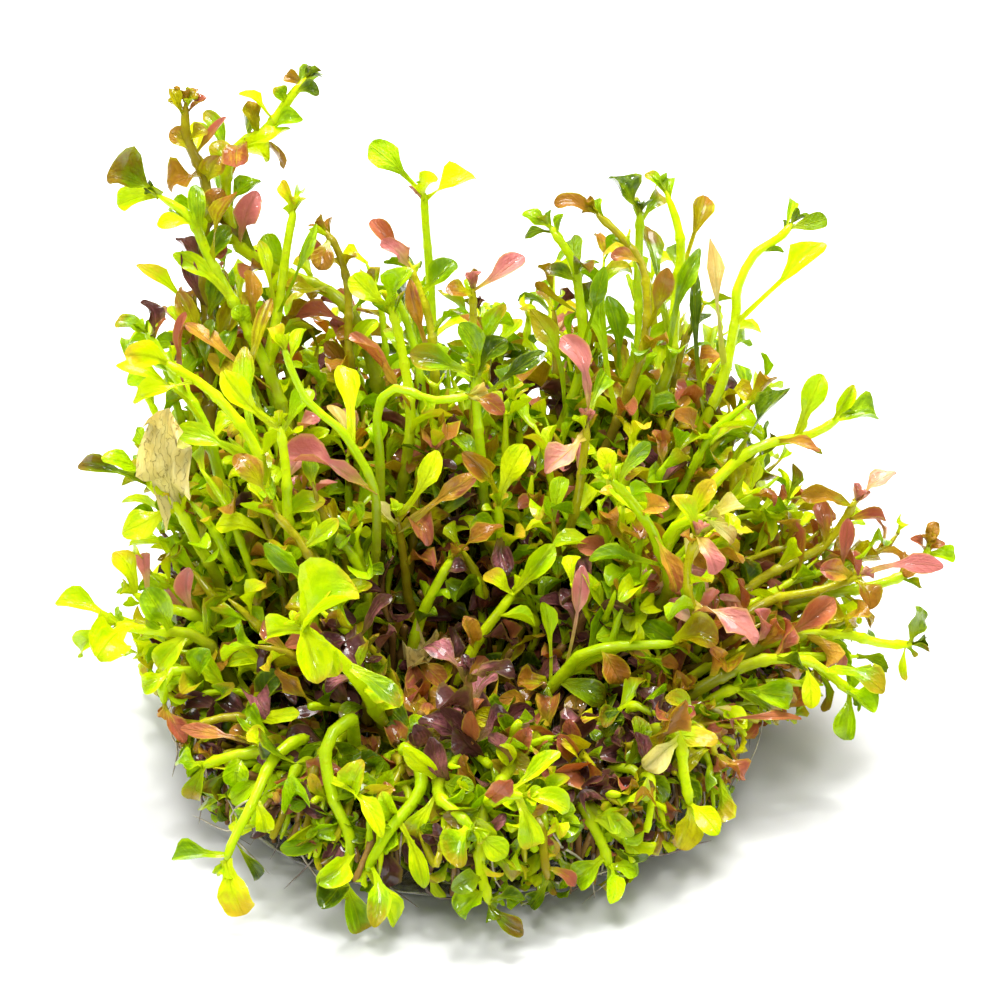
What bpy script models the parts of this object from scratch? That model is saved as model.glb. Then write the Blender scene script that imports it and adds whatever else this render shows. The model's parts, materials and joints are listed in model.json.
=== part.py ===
"""A clump of rotala, a water plant, as it is lifted out of its culture cup.

About fifty leafy shoots stand in a low clear puck of gel and flop outwards over its edge. The puck has
the taper of the cup that it set in. Each shoot is one body: a four-sided stem with a bud at its end and
leaves in pairs. The low sprigs are the short, dark old growth between them.

Places on the puck are in millimetres from its middle: +X to the right and +Y to the back. Places in the
air are given as the eye sees them, because that is how the clump was measured: so many hundredths of
the view's width from its left and from its top, and so many millimetres behind the puck's middle.
"""

import itertools
import math
import random
from dataclasses import dataclass, field

import bmesh
import bpy
import numpy as np
from mathutils import Matrix, Vector
from mathutils.bvhtree import BVHTree

MM = 0.001

# Driving dimensions, in millimetres.
GEL_TOP_RADIUS = 30.6
GEL_FOOT_RADIUS = 28.8
GEL_HEIGHT = 9.0
GEL_RIM_RISE = 0.5
GEL_RIM_WIDTH = 2.2
GEL_RIM_FLAT = 0.3
GEL_FOOT_ROUND = 0.9
GEL_STEPS = 48
STEM_WIDTH = 1.25
NODE_SWELL = 1.2
NODE_HEIGHT = 0.8
LEAF_THICKNESS = 0.5
LEAF_SPREAD = 1.3
ROUND_TIP_WIDTH = 2.9
GAP = 0.32

# The stem: its first rise out of the gel and the share of its lean there, and its bud's width.
KNEE_HEIGHT = 2.6
KNEE_LEAN = 0.12
BUD_WIDTH = 0.45

# The leaf: where it is widest, how far it bows there, and its blunt tip against its widest section.
LEAF_WIDEST = 0.6
LEAF_BOW = 0.07
TIP_WIDTH = 0.4
TIP_THICKNESS = 0.7

# The leaf pairs that aren't measured one by one: their places as shares of the stem, and their size.
LONG_STEM = 3
LONG_STEM_PAIRS = (0.36, 0.62)
SHORT_STEM_PAIRS = (0.45,)
PAIR_LEAF_LENGTH = 5.5
PAIR_LEAF_WIDTH = 2.8

# Which way a leaf's face looks: up, toward the eye, and a little turned along each axis.
FACE_UP = 0.7
FACE_EYE = 0.8
FACE_TURNS = (0.5, 0.3, 0.3)

# How the unmeasured leaves vary: about the stem, along it, and in length.
PAIR_ACROSS = Vector((0.3, 1.0, 0.2))
PAIR_TURN = 0.4
PAIR_LIFT = (0.3, 0.8)
PAIR_LENGTHS = (0.8, 1.1)
PAIR_FACE_RISE = Vector((0.0, 0.0, 0.5))

# How the clump is seen: the eye looks down on it by VIEW_TILT and sees VIEW_WIDTH at AIM.
VIEW_TILT = math.radians(30.0)
VIEW_WIDTH = 112.2
EYE_DISTANCE = 320.0
AIM = Vector((4.2, 13.5, 23.4))
RIGHT = Vector((1.0, 0.0, 0.0))
UP = Vector((0.0, math.sin(VIEW_TILT), math.cos(VIEW_TILT)))
AHEAD = Vector((0.0, math.cos(VIEW_TILT), -math.sin(VIEW_TILT)))
EYE = AIM - AHEAD * EYE_DISTANCE

# Clearances between centre lines and blade points, in millimetres.
STEM_REACH = 0.78
LEAF_REACH = 0.42
STEM_SPACING = 1.8
ROOT_STEP = 0.9
ROOT_TRIES = 90
PATH_SLIDES = (0.0, 1.5, -1.5, 3.0, -3.0, 4.5, -4.5, 6.0, -6.0)
NODE_SHIFTS = (0.0, 0.04, 0.08, 0.12)
RIM_MARGIN = 2.4
RING_SPACING = 11.0
SAMPLE_SPACING = 0.6
FOOT_SAMPLES = 3
FLOOR_CLEARANCE = 0.35
FOOT_SHARE = 0.22
FOOT_REACH = 2.2
LEAF_SLIDES = (0.0, 1.5, -1.5, 3.0, -3.0, 4.5, -4.5, 6.0, -6.0)
LEAF_TURNS = (0.0, 0.6, -0.6, 1.2, -1.2)
SAME_NODE = 0.045
LEAVES_A_NODE = 4

COLOURS = {
    "lime": (0.42, 0.72, 0.03, 1.0),
    "green": (0.16, 0.42, 0.03, 1.0),
    "olive": (0.26, 0.26, 0.04, 1.0),
    "rust": (0.42, 0.15, 0.05, 1.0),
    "mauve": (0.22, 0.06, 0.11, 1.0),
    "gel": (0.82, 0.84, 0.78, 0.35),
}


@dataclass
class Leaf:
    """A leaf by the place of its tip in the view, and its width in the view's hundredths.

    `at` is the share of the stem where it grows, and `toward` how many millimetres nearer to the eye
    than that its tip is.
    """

    at: float
    across: float
    down: float
    toward: float = 0.0
    width: float = 2.2


@dataclass
class Shoot:
    """A shoot: its colour, where it leaves the gel, the places it passes through, and its leaves."""

    name: str
    colour: str
    root: tuple
    path: list
    leaves: list = field(default_factory=list)


SHOOTS = [
    Shoot("tall_left", "olive", (-22, 6),
          [(21.2, 45, 14), (21.0, 35, 20), (20.3, 25.5, 25), (20.6, 18.5, 28),
           (18.6, 13.5, 29), (18.6, 10.2, 30)],
          [Leaf(0.86, 16.6, 18.7, 1, 3.2), Leaf(0.99, 19.8, 9.6, 1, 1.5), Leaf(0.98, 17.4, 9.8, -1, 1.2),
           Leaf(0.55, 13.6, 26.0, 2, 1.8), Leaf(0.72, 22.6, 25.4, 2, 2.2), Leaf(0.9, 22.6, 11.8, 1, 1.5),
           Leaf(0.36, 26.8, 28.4, 1, 1.7), Leaf(0.5, 21.4, 32.0, 2, 1.8), Leaf(0.62, 18.2, 25.0, 2, 1.5)]),
    Shoot("tall_left_arm", "lime", (-18, 11),
          [(28.5, 42, 15), (25.1, 33.5, 19), (21.0, 26.0, 22), (19.0, 21.8, 23), (15.6, 19.4, 24)],
          [Leaf(0.99, 10.6, 17.6, 1, 4.0), Leaf(0.99, 12.0, 20.6, -1, 2.4), Leaf(0.8, 23.6, 19.0, 2, 1.8),
           Leaf(0.5, 18.6, 32.6, 1, 2.4)]),
    Shoot("tall_right_arm", "green", (-9, 15),
          [(38, 40, 21), (34.5, 30.5, 25), (28.2, 27.1, 27), (23.6, 24.0, 28), (23.0, 15.5, 30),
           (26.6, 13.0, 32), (29.4, 9.2, 33), (30.6, 7.8, 34)],
          [Leaf(0.93, 32.4, 6.4, 1, 2.5), Leaf(0.99, 28.6, 7.4, 0, 1.5), Leaf(0.86, 23.8, 16.8, 3, 3.2),
           Leaf(0.80, 20.4, 11.4, 1, 1.8), Leaf(0.68, 25.6, 19.0, 2, 2.6), Leaf(0.30, 32.2, 34.0, 2, 2.0),
           Leaf(0.83, 29.2, 12.2, 1, 2.2), Leaf(0.76, 26.4, 12.6, -1, 1.5)]),
    Shoot("needle_fork", "lime", (-14, 9),
          [(27.0, 38, 17), (28.0, 30, 21), (28.8, 24, 23), (29.4, 21.0, 24)],
          [Leaf(0.99, 28.2, 18.0, 0, 1.3), Leaf(0.99, 30.4, 18.8, -1, 0.9), Leaf(0.75, 26.2, 23.6, 1, 1.4),
           Leaf(0.75, 31.6, 22.2, 1, 1.2), Leaf(0.45, 23.6, 31.2, 1, 1.6)]),
    Shoot("olive_hooks", "olive", (-8, 19),
          [(35.0, 36, 22), (34.8, 29, 25), (33.8, 25, 26), (32.4, 23.0, 27)],
          [Leaf(0.98, 31.8, 27.0, 3, 2.4), Leaf(0.9, 30.2, 26.0, 1, 2.0), Leaf(0.6, 37.4, 31.4, 1, 2.0)]),
    Shoot("left_high_sprig", "green", (-23, 1),
          [(21, 44, 6), (17.5, 37.5, 9), (14.6, 33.2, 11)],
          [Leaf(0.99, 11.6, 32.6, 0, 2.0), Leaf(0.98, 14.3, 29.8, 1, 1.7), Leaf(0.8, 18.6, 31.2, 1, 1.8),
           Leaf(0.7, 11.2, 36.0, 1, 2.2)]),
    Shoot("left_high_stem", "lime", (-18, 1),
          [(26, 46, 3), (21.5, 39.5, 5), (16.5, 36.2, 6)],
          [Leaf(0.99, 12.4, 35.4, 1, 2.6), Leaf(0.9, 13.0, 40.2, 1, 2.0), Leaf(0.6, 24.5, 35.0, 1, 2.2),
           Leaf(0.6, 17.4, 43.0, 2, 2.4)]),
    Shoot("left_middle", "green", (-25, -2),
          [(22, 58.5, -1), (19.5, 54, -1), (17.5, 50.5, 0), (14.6, 48.2, 1)],
          [Leaf(0.99, 7.2, 46.4, 1, 1.8), Leaf(0.97, 10.2, 45.8, 0, 2.4), Leaf(0.9, 14.2, 45.0, 2, 3.0),
           Leaf(0.85, 11.8, 53.2, 2, 3.4), Leaf(0.84, 16.8, 40.8, 1, 3.6)]),
    Shoot("left_upright_blade", "lime", (-26, -5),
          [(20, 62, -5), (15.6, 60.5, -5), (13.4, 59.4, -5)],
          [Leaf(0.99, 11.4, 54.8, 1, 2.6), Leaf(0.9, 14.2, 55.0, -1, 1.6), Leaf(0.6, 18.8, 56.6, 1, 1.8)]),
    Shoot("left_low_rosette", "lime", (-23, -9),
          [(20, 63.8, -8), (14.5, 63.0, -9), (11.5, 62.4, -9)],
          [Leaf(0.99, 5.4, 60.2, 0, 2.4), Leaf(0.98, 7.2, 65.0, 1, 2.4), Leaf(0.92, 9.6, 65.6, 3, 4.2),
           Leaf(0.7, 14.4, 58.8, 2, 3.0), Leaf(0.6, 15.8, 67.0, 2, 2.4)]),
    Shoot("left_hanging", "lime", (-25, -10),
          [(19.5, 67.5, -11), (16.6, 67.4, -13), (16.4, 70.4, -14)],
          [Leaf(0.99, 18.4, 74.2, 1, 1.8), Leaf(0.75, 13.8, 68.6, 1, 2.0), Leaf(0.5, 21.0, 65.0, 2, 2.4)]),
    Shoot("low_left_arm", "green", (-20, -14),
          [(27.2, 75.0, -19), (23.5, 75.5, -20), (20.2, 76.6, -20)],
          [Leaf(0.99, 17.4, 76.0, 1, 2.6), Leaf(0.98, 18.9, 80.2, 0, 2.0), Leaf(0.7, 23.6, 78.8, 1, 2.4),
           Leaf(0.55, 24.6, 73.4, 1, 2.2), Leaf(0.45, 18.4, 73.0, 1, 1.6)]),
    Shoot("drooping_left", "lime", (-15, -15),
          [(31.0, 73.3, -16), (27.4, 75.8, -21), (25.3, 80.2, -26), (23.2, 84.3, -29), (22.6, 86.2, -30)],
          [Leaf(0.99, 24.4, 91.6, 0, 3.5), Leaf(0.97, 17.2, 86.0, 0, 2.1), Leaf(0.9, 26.4, 88.0, -1, 1.4),
           Leaf(0.7, 26.6, 83.4, 0, 1.8)]),
    Shoot("front_loop_left", "lime", (-11, -18),
          [(35.4, 72.0, -20), (32.7, 74.3, -24), (33.2, 79.5, -28), (35.0, 84.0, -31), (34.4, 88.4, -33)],
          [Leaf(0.99, 36.0, 93.4, 0, 2.6), Leaf(0.98, 32.2, 91.0, 0, 2.8), Leaf(0.88, 31.6, 88.2, 0, 2.5),
           Leaf(0.6, 38.8, 83.4, 0, 1.8)]),
    Shoot("front_loop_right", "lime", (-5, -19),
          [(38.6, 74.3, -20), (41.4, 75.6, -23), (42.0, 79.0, -27), (38.8, 83.2, -32), (36.6, 87.2, -34)],
          [Leaf(0.99, 39.2, 92.6, 0, 2.2), Leaf(0.97, 37.4, 92.8, 1, 2.2), Leaf(0.75, 42.4, 88.6, 0, 1.7),
           Leaf(0.45, 47.4, 80.4, 1, 2.6)]),
    Shoot("front_crown", "lime", (-8, -13),
          [(37.6, 73.5, -15), (37.4, 70.5, -17), (35.0, 67.0, -19), (31.5, 63.8, -21), (30.0, 62.6, -21)],
          [Leaf(0.99, 36.0, 59.2, 2, 5.0), Leaf(0.98, 31.8, 68.4, 3, 3.2), Leaf(0.95, 26.4, 63.6, 0, 2.2),
           Leaf(0.35, 40.4, 69.0, 1, 2.6)]),
    Shoot("centre_upright", "olive", (-4, 2),
          [(41.2, 62.0, 2), (40.4, 56, 2), (39.7, 51.6, 2)],
          [Leaf(0.99, 43.8, 44.8, 2, 2.2), Leaf(0.97, 34.4, 52.6, 1, 1.9), Leaf(0.93, 37.0, 50.0, -1, 1.2),
           Leaf(0.9, 47.6, 47.6, 0, 2.0), Leaf(0.3, 45.4, 61.8, 1, 1.6)]),
    Shoot("centre_lime_left", "lime", (-6, -2),
          [(40.8, 66.4, -3), (42.0, 62, -2), (43.6, 58.6, -1), (45.2, 55.8, 0)],
          [Leaf(0.99, 50.6, 52.2, 2, 2.0), Leaf(0.9, 46.8, 56.8, 2, 1.8), Leaf(0.5, 43.6, 61.2, 2, 1.8)]),
    Shoot("centre_lime_right", "lime", (-1, -4),
          [(45.5, 68.3, -5), (47.8, 64, -4), (50.2, 60.8, -3), (51.4, 59.2, -2)],
          [Leaf(0.99, 55.4, 54.6, 2, 2.2), Leaf(0.98, 48.4, 57.2, 1, 2.3), Leaf(0.8, 53.8, 62.4, 2, 1.8),
           Leaf(0.55, 46.4, 61.6, 2, 1.8)]),
    Shoot("centre_fan", "green", (3, 3),
          [(50.5, 58, 4), (50.0, 53, 5), (49.8, 50.5, 5)],
          [Leaf(0.99, 52.6, 44.6, 1, 2.8), Leaf(0.98, 46.4, 45.2, 0, 2.3), Leaf(0.85, 47.0, 53.0, 3, 2.0),
           Leaf(0.8, 50.8, 57.6, 3, 2.2)]),
    Shoot("right_arch", "lime", (9, -8),
          [(56.0, 67.0, -8), (59.5, 65.0, -9), (64.0, 64.5, -10), (67.5, 64.4, -10)],
          [Leaf(0.99, 71.8, 64.2, 1, 3.4), Leaf(0.2, 54.2, 59.8, 1, 1.7), Leaf(0.35, 58.2, 56.6, 1, 1.8),
           Leaf(0.6, 62.2, 68.4, 1, 2.6)]),
    Shoot("pink_centre", "rust", (8, 5),
          [(57.5, 51, 5), (58.4, 45.4, 6), (58.7, 42.2, 7)],
          [Leaf(0.98, 56.2, 33.0, 1, 2.8), Leaf(0.95, 54.4, 47.2, 2, 2.8), Leaf(0.99, 60.8, 36.6, 0, 2.0)]),
    Shoot("middle_right_lime", "lime", (10, -2),
          [(66.4, 60.0, -3), (65.6, 54.0, -4), (63.5, 50.6, -5), (61.2, 48.0, -6)],
          [Leaf(0.99, 60.0, 44.8, 1, 2.0), Leaf(0.97, 65.0, 44.4, 1, 1.6), Leaf(0.75, 67.6, 59.2, 3, 2.2),
           Leaf(0.6, 58.6, 55.6, 1, 2.2)]),
    Shoot("rose_blade", "rust", (15, -6),
          [(71, 66, -7), (69.0, 60.0, -9), (68.8, 56, -10), (69.8, 53.4, -10)],
          [Leaf(0.7, 76.4, 64.0, 2, 3.6), Leaf(0.99, 72.0, 57.6, 2, 2.0), Leaf(0.98, 67.2, 49.6, 1, 2.0),
           Leaf(0.4, 64.0, 62.0, 2, 2.2)]),
    Shoot("beige_star", "lime", (12, 2),
          [(66, 56, 0), (67.5, 52.6, -2), (70.6, 51.6, -3)],
          [Leaf(0.99, 74.6, 50.2, 0, 2.0), Leaf(0.98, 73.6, 54.2, 1, 2.0), Leaf(0.95, 71.4, 48.0, 1, 2.0)]),
    Shoot("right_long_arm", "lime", (20, 3),
          [(67, 54, 5), (70.5, 49.3, 7), (75.4, 44.9, 9), (81.5, 43.3, 10), (84.0, 41.7, 11)],
          [Leaf(0.99, 88.0, 41.6, 0, 3.2), Leaf(0.97, 85.4, 38.6, -1, 1.5), Leaf(0.86, 82.2, 37.4, 0, 2.5),
           Leaf(0.66, 79.0, 38.6, 1, 2.2), Leaf(0.8, 82.0, 45.2, 1, 1.2)]),
    Shoot("upper_right", "lime", (15, 14),
          [(71.5, 40, 19), (73.6, 31.6, 23), (73.7, 29, 24), (75.4, 25.5, 26),
           (78.0, 23.7, 27), (79.2, 22.4, 28)],
          [Leaf(0.99, 82.8, 21.8, 0, 1.9), Leaf(0.98, 79.0, 20.2, -1, 1.2), Leaf(0.72, 82.6, 24.4, 2, 3.0),
           Leaf(0.62, 71.6, 23.0, 0, 1.9), Leaf(0.5, 69.6, 27.2, 1, 1.3)]),
    Shoot("top_right", "green", (8, 17),
          [(66.5, 38, 21), (67.6, 29, 25), (68.1, 25, 26), (67.6, 21.9, 27), (66.5, 19.0, 28)],
          [Leaf(0.99, 64.4, 17.4, 0, 1.4), Leaf(0.78, 70.6, 19.2, 1, 2.4), Leaf(0.62, 64.4, 22.0, 0, 2.2),
           Leaf(0.6, 70.0, 24.4, 1, 2.0)]),
    Shoot("top_right_pad", "green", (4, 21),
          [(63.4, 36, 24), (63.8, 28, 27), (64.0, 21.2, 28)],
          [Leaf(0.99, 61.2, 17.2, 1, 2.9), Leaf(0.97, 66.0, 18.6, -1, 2.2), Leaf(0.5, 60.6, 30.2, 1, 2.2)]),
    Shoot("top_curls", "green", (1, 15),
          [(57.8, 38, 20), (57.6, 27, 24), (56.3, 24.5, 25), (55.0, 22.6, 26)],
          [Leaf(0.99, 52.2, 21.2, 1, 1.7), Leaf(0.98, 52.2, 23.6, -1, 1.4), Leaf(0.85, 54.4, 27.0, 2, 1.8),
           Leaf(0.7, 60.6, 26.6, 1, 1.8), Leaf(0.5, 53.0, 30.6, 2, 2.6)]),
    Shoot("top_arch", "olive", (7, 11),
          [(64.0, 36, 18), (64.5, 27.5, 22), (62.6, 24.2, 24), (59.6, 21.3, 25)],
          [Leaf(0.99, 55.4, 20.4, 1, 1.9), Leaf(0.85, 61.0, 25.6, 1, 1.5), Leaf(0.7, 66.6, 26.8, 2, 2.2),
           Leaf(0.5, 60.2, 29.4, 1, 2.2)]),
    Shoot("far_back_pads", "lime", (-3, 22),
          [(43.5, 40, 28), (43.0, 28, 33), (42.5, 21.5, 35), (42.4, 19.2, 36)],
          [Leaf(0.99, 36.9, 14.4, 0, 3.2), Leaf(0.98, 47.6, 17.6, 0, 3.3), Leaf(0.97, 43.6, 17.6, 2, 2.2)]),
    Shoot("brown_top_left", "rust", (-5, 12),
          [(43.5, 40, 15), (43.1, 33, 18), (42, 29, 20), (40.6, 26.0, 22)],
          [Leaf(0.99, 37.2, 21.6, 0, 1.8), Leaf(0.97, 38.2, 24.0, 2, 1.8), Leaf(0.9, 45.6, 25.8, 1, 2.4),
           Leaf(0.7, 40.9, 28.0, 1, 1.6)]),
    Shoot("lime_trumpet", "lime", (-10, 7),
          [(41, 43, 10), (40.2, 35, 14), (39.0, 30.4, 16)],
          [Leaf(0.98, 35.2, 27.2, 0, 2.6), Leaf(0.99, 41.2, 26.9, 1, 2.2), Leaf(0.7, 35.0, 33.4, 2, 2.0)]),
    Shoot("pink_top", "rust", (-1, 8),
          [(47.5, 41, 14), (47.3, 32, 18), (47.3, 28.8, 19)],
          [Leaf(0.99, 52.4, 25.3, 1, 2.3), Leaf(0.98, 44.6, 29.2, 1, 2.0), Leaf(0.8, 50.8, 30.6, 2, 2.2)]),
    Shoot("middle_rosette", "green", (3, 8),
          [(48.2, 47, 8), (47.6, 40, 11), (47.5, 37.4, 12)],
          [Leaf(0.99, 41.0, 35.4, 1, 2.8), Leaf(0.98, 46.0, 32.4, 1, 2.6), Leaf(0.97, 50.6, 33.6, 1, 2.6),
           Leaf(0.9, 54.4, 34.6, 3, 1.8)]),
    Shoot("lime_runner", "lime", (-9, 3),
          [(38.0, 46, 3), (37.8, 41.0, 3), (39.6, 38.8, 2), (43.2, 40.0, 1), (47.0, 39.6, 1)],
          [Leaf(0.5, 33.0, 39.4, 1, 1.6), Leaf(0.99, 50.4, 41.4, 1, 1.8), Leaf(0.6, 36.8, 42.8, 3, 2.2)]),
    Shoot("inner_runner", "lime", (-11, -3),
          [(37.6, 50, -1), (34.4, 43.4, 0), (31.0, 40.4, 1), (29.4, 37.6, 2), (28.4, 34.8, 3)],
          [Leaf(0.99, 26.8, 32.6, 0, 1.6), Leaf(0.96, 30.4, 33.0, 0, 1.4), Leaf(0.55, 28.4, 45.4, 1, 3.2),
           Leaf(0.7, 34.2, 37.0, 1, 2.4)]),
    Shoot("olive_blade", "olive", (-13, -8),
          [(32.8, 60, -7), (30.3, 54.6, -5), (27.4, 51.2, -4)],
          [Leaf(0.99, 23.4, 45.0, 1, 2.5), Leaf(0.8, 33.8, 52.0, 1, 1.6), Leaf(0.6, 26.4, 54.4, 2, 2.0)]),
    Shoot("bright_paddle", "lime", (-17, -3),
          [(28.8, 52, -2), (28.6, 47, -1), (28.0, 42.6, 1)],
          [Leaf(0.99, 22.4, 37.4, 1, 2.5), Leaf(0.97, 31.2, 38.8, 0, 2.0), Leaf(0.6, 24.8, 48.6, 2, 1.8)]),
    Shoot("right_rust_tip", "rust", (22, -1),
          [(76, 58, 2), (82.5, 54.5, 4), (84.8, 51.4, 5), (85.6, 50.0, 5)],
          [Leaf(0.99, 89.8, 46.8, 1, 1.9), Leaf(0.97, 80.0, 49.4, 1, 1.9), Leaf(0.9, 88.6, 52.0, -1, 1.4),
           Leaf(0.8, 81.6, 49.8, 2, 1.8)]),
    Shoot("right_rust_star", "rust", (23, -5),
          [(76, 60.5, -2), (82, 59.0, 0), (86.0, 57.6, 1)],
          [Leaf(0.99, 94.2, 56.8, 1, 2.1), Leaf(0.98, 87.2, 61.0, 2, 2.4), Leaf(0.96, 82.0, 57.0, 2, 2.2),
           Leaf(0.9, 84.8, 51.8, 1, 1.6)]),
    Shoot("far_right", "green", (24, 2),
          [(80, 60, 3), (88, 58.4, 5), (92.2, 56.4, 6), (92.8, 54.6, 6)],
          [Leaf(0.99, 93.4, 52.0, 0, 1.5), Leaf(0.97, 95.4, 55.8, 0, 1.7), Leaf(0.9, 90.6, 57.8, 1, 1.4)]),
    Shoot("right_hook", "green", (22, -9),
          [(76, 64.5, -7), (84, 63.4, -4), (88.5, 64.4, -3), (91.2, 64.4, -3)],
          [Leaf(0.99, 92.4, 60.6, 0, 2.4), Leaf(0.98, 90.6, 68.4, 0, 1.0), Leaf(0.75, 86.8, 60.6, 2, 2.4),
           Leaf(0.5, 83.4, 60.0, 1, 2.6)]),
    Shoot("right_drop", "green", (19, -13),
          [(75, 66.4, -11), (80.4, 66.0, -10), (83.4, 67.8, -10), (85.2, 69.4, -10)],
          [Leaf(0.99, 84.4, 74.0, 0, 2.2), Leaf(0.98, 87.4, 71.4, 0, 2.4), Leaf(0.85, 88.6, 69.2, 2, 2.8),
           Leaf(0.75, 81.0, 70.8, 1, 1.9)]),
    Shoot("right_pair", "green", (25, -12),
          [(72.4, 69.2, -13), (74.2, 68.8, -13)],
          [Leaf(0.99, 79.4, 69.6, 0, 2.8), Leaf(0.9, 77.6, 72.0, 1, 2.6)]),
    Shoot("right_low_rust", "rust", (23, -16),
          [(70, 72.8, -18), (71.6, 75.6, -19)],
          [Leaf(0.99, 74.6, 78.0, 0, 1.8), Leaf(0.5, 80.2, 71.9, -3, 1.6), Leaf(0.9, 67.4, 77.6, 2, 2.0)]),
    Shoot("right_front_lime", "lime", (17, -18),
          [(67.4, 73.0, -21), (68.4, 77.4, -24), (69.0, 80.6, -25)],
          [Leaf(0.3, 71.8, 74.2, 2, 2.4), Leaf(0.99, 67.6, 84.8, 1, 2.8), Leaf(0.98, 72.0, 83.2, 0, 2.2),
           Leaf(0.6, 64.4, 76.8, 1, 2.4)]),
    Shoot("front_right_pads", "green", (11, -23),
          [(58.0, 80, -27), (60.3, 84.6, -30), (61.0, 86.8, -31)],
          [Leaf(0.99, 64.0, 87.4, 0, 2.8), Leaf(0.97, 61.0, 90.6, 0, 1.7), Leaf(0.9, 57.2, 88.0, 1, 2.6),
           Leaf(0.6, 62.8, 82.2, 1, 2.4)]),
    Shoot("front_dark_pads", "green", (1, -24),
          [(48.3, 81.5, -29), (48.0, 86.6, -32.5), (49.0, 90.5, -34.5)],
          [Leaf(0.99, 52.4, 93.4, 0, 1.8), Leaf(0.98, 52.4, 89.6, 0, 1.3), Leaf(0.9, 45.8, 91.4, 1, 2.8),
           Leaf(0.85, 45.2, 88.8, -1, 2.0)]),
    Shoot("front_small_leaf", "olive", (6, -25),
          [(54.0, 82.0, -30), (54.4, 85.5, -32.5), (54.8, 88.0, -33)],
          [Leaf(0.99, 53.0, 90.8, 0, 1.7), Leaf(0.9, 57.6, 88.6, 0, 1.4)]),
    Shoot("front_bright_right", "lime", (4, -17),
          [(48.6, 80.6, -29), (50.4, 79.6, -29), (52.4, 79.6, -30)],
          [Leaf(0.5, 50.0, 74.4, 1, 1.8), Leaf(0.9, 55.8, 75.4, 1, 1.8), Leaf(0.99, 57.0, 81.0, 1, 2.2),
           Leaf(0.97, 53.4, 85.4, 1, 2.4)]),
    Shoot("front_bright_left", "lime", (-1, -20),
          [(43.8, 79.4, -26), (46.0, 81.6, -30), (47.4, 83.0, -31)],
          [Leaf(0.99, 50.6, 85.6, 0, 2.4), Leaf(0.97, 46.0, 86.8, 0, 2.6), Leaf(0.6, 41.6, 85.0, 0, 2.4)]),
]

# The shoots whose stems run bare: only their measured leaves grow on them.
BARE_SHOOTS = {"front_loop_left", "front_loop_right", "drooping_left", "front_crown", "right_long_arm",
               "upper_right", "far_back_pads", "lime_runner", "inner_runner", "centre_upright", "right_arch",
               "needle_fork", "front_small_leaf", "centre_lime_right", "centre_lime_left"}

# The old growth low on the gel: short sprigs on a sunflower spiral, with dark broad leaves.
LOW_SPRIGS = 3
LOW_SPRIG_RISE = ((-3.0, 3.0), (-4.0, 2.0), (8.0, 13.0))
LOW_SPRIG_RING = (5.0, 15.0)
LOW_SPRIG_FORWARD = 3.0
SPRIG_PAIRS = (0.35, 0.65, 0.93)
SPRIG_LEAF = (6.5, 3.4)

# The shoots that lean out behind, where the front ones hide them: bearing, lean outwards and height,
# and the shares of that lean and height where the stem bends.
BACK_SHOOTS = [(55.0, 16.0, 18.0), (88.0, 18.0, 24.0), (118.0, 17.0, 20.0)]
BACK_BEND = (0.35, 0.6)
BACK_PAIRS = (0.32, 0.52, 0.72, 0.93)
BACK_ROOT_RADIUS = 24.0
GOLDEN_ANGLE = math.radians(137.508)


def seen(across, down, back):
    """The point, in millimetres, that lies `back` behind the puck's middle on that line of sight."""
    ray = sight_line(across, down)
    return EYE + ray * ((back - EYE.y) / ray.y)


def sight_line(across, down):
    """The line of sight to that place in the view, one millimetre deep."""
    right = (across / 100 - 0.5) * VIEW_WIDTH
    up = (0.5 - down / 100) * VIEW_WIDTH
    return AHEAD + (RIGHT * right + UP * up) / EYE_DISTANCE


def smooth_route(points, spacing):
    """Points about `spacing` apart on a smooth curve through the given ones."""
    ends = [points[0] * 2 - points[1], *points, points[-1] * 2 - points[-2]]
    ways = [(after - before).normalized() for before, after in zip(ends, ends[2:])]
    route = []
    for start, end, way_out, way_in in zip(points, points[1:], ways, ways[1:]):
        length = (end - start).length
        steps = max(2, round(length / spacing))
        for step in range(steps):
            t = step / steps
            route.append(
                start * (2 * t ** 3 - 3 * t ** 2 + 1)
                + way_out * (length * (t ** 3 - 2 * t ** 2 + t))
                + end * (3 * t ** 2 - 2 * t ** 3)
                + way_in * (length * (t ** 3 - t ** 2))
            )
    return [*route, points[-1].copy()]


def place_on(route, share):
    """The point and the direction at that share of the route's length."""
    lengths = [(b - a).length for a, b in zip(route, route[1:])]
    left = share * sum(lengths)
    for a, b, length in zip(route, route[1:], lengths):
        if left <= length:
            return a.lerp(b, left / length), (b - a).normalized()
        left -= length
    return route[-1].copy(), (route[-1] - route[-2]).normalized()


def nearest(points, others):
    """The smallest distance between two sets of points."""
    return math.sqrt(((points[:, None] - others[None]) ** 2).sum(2).min())


def as_array(points):
    """Vectors as rows of numbers."""
    return np.array([tuple(p) for p in points])


def spiral(root):
    """Places for a root, from the given one outwards, that are well within the gel's rim."""
    for step in range(ROOT_TRIES):
        reach = ROOT_STEP * math.sqrt(step)
        turn = GOLDEN_ANGLE * step
        x = root[0] + reach * math.cos(turn)
        y = root[1] + reach * math.sin(turn)
        if math.hypot(x, y) < GEL_TOP_RADIUS - RIM_MARGIN:
            yield Vector((x, y, GEL_HEIGHT + GAP))


def clear_route(foot, path, placed):
    """The smooth stem from a foot on the gel through a path, or None where it would meet another."""
    lean = path[0] - foot
    knee = foot + Vector((lean.x * KNEE_LEAN, lean.y * KNEE_LEAN, KNEE_HEIGHT))
    route = smooth_route([foot, knee, *path], SAMPLE_SPACING)
    points = as_array(route)
    if not clear_of_gel(points[FOOT_SAMPLES:], STEM_REACH):
        return None
    if all(nearest(points, other) >= STEM_SPACING for other in placed):
        return route
    return None


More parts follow.
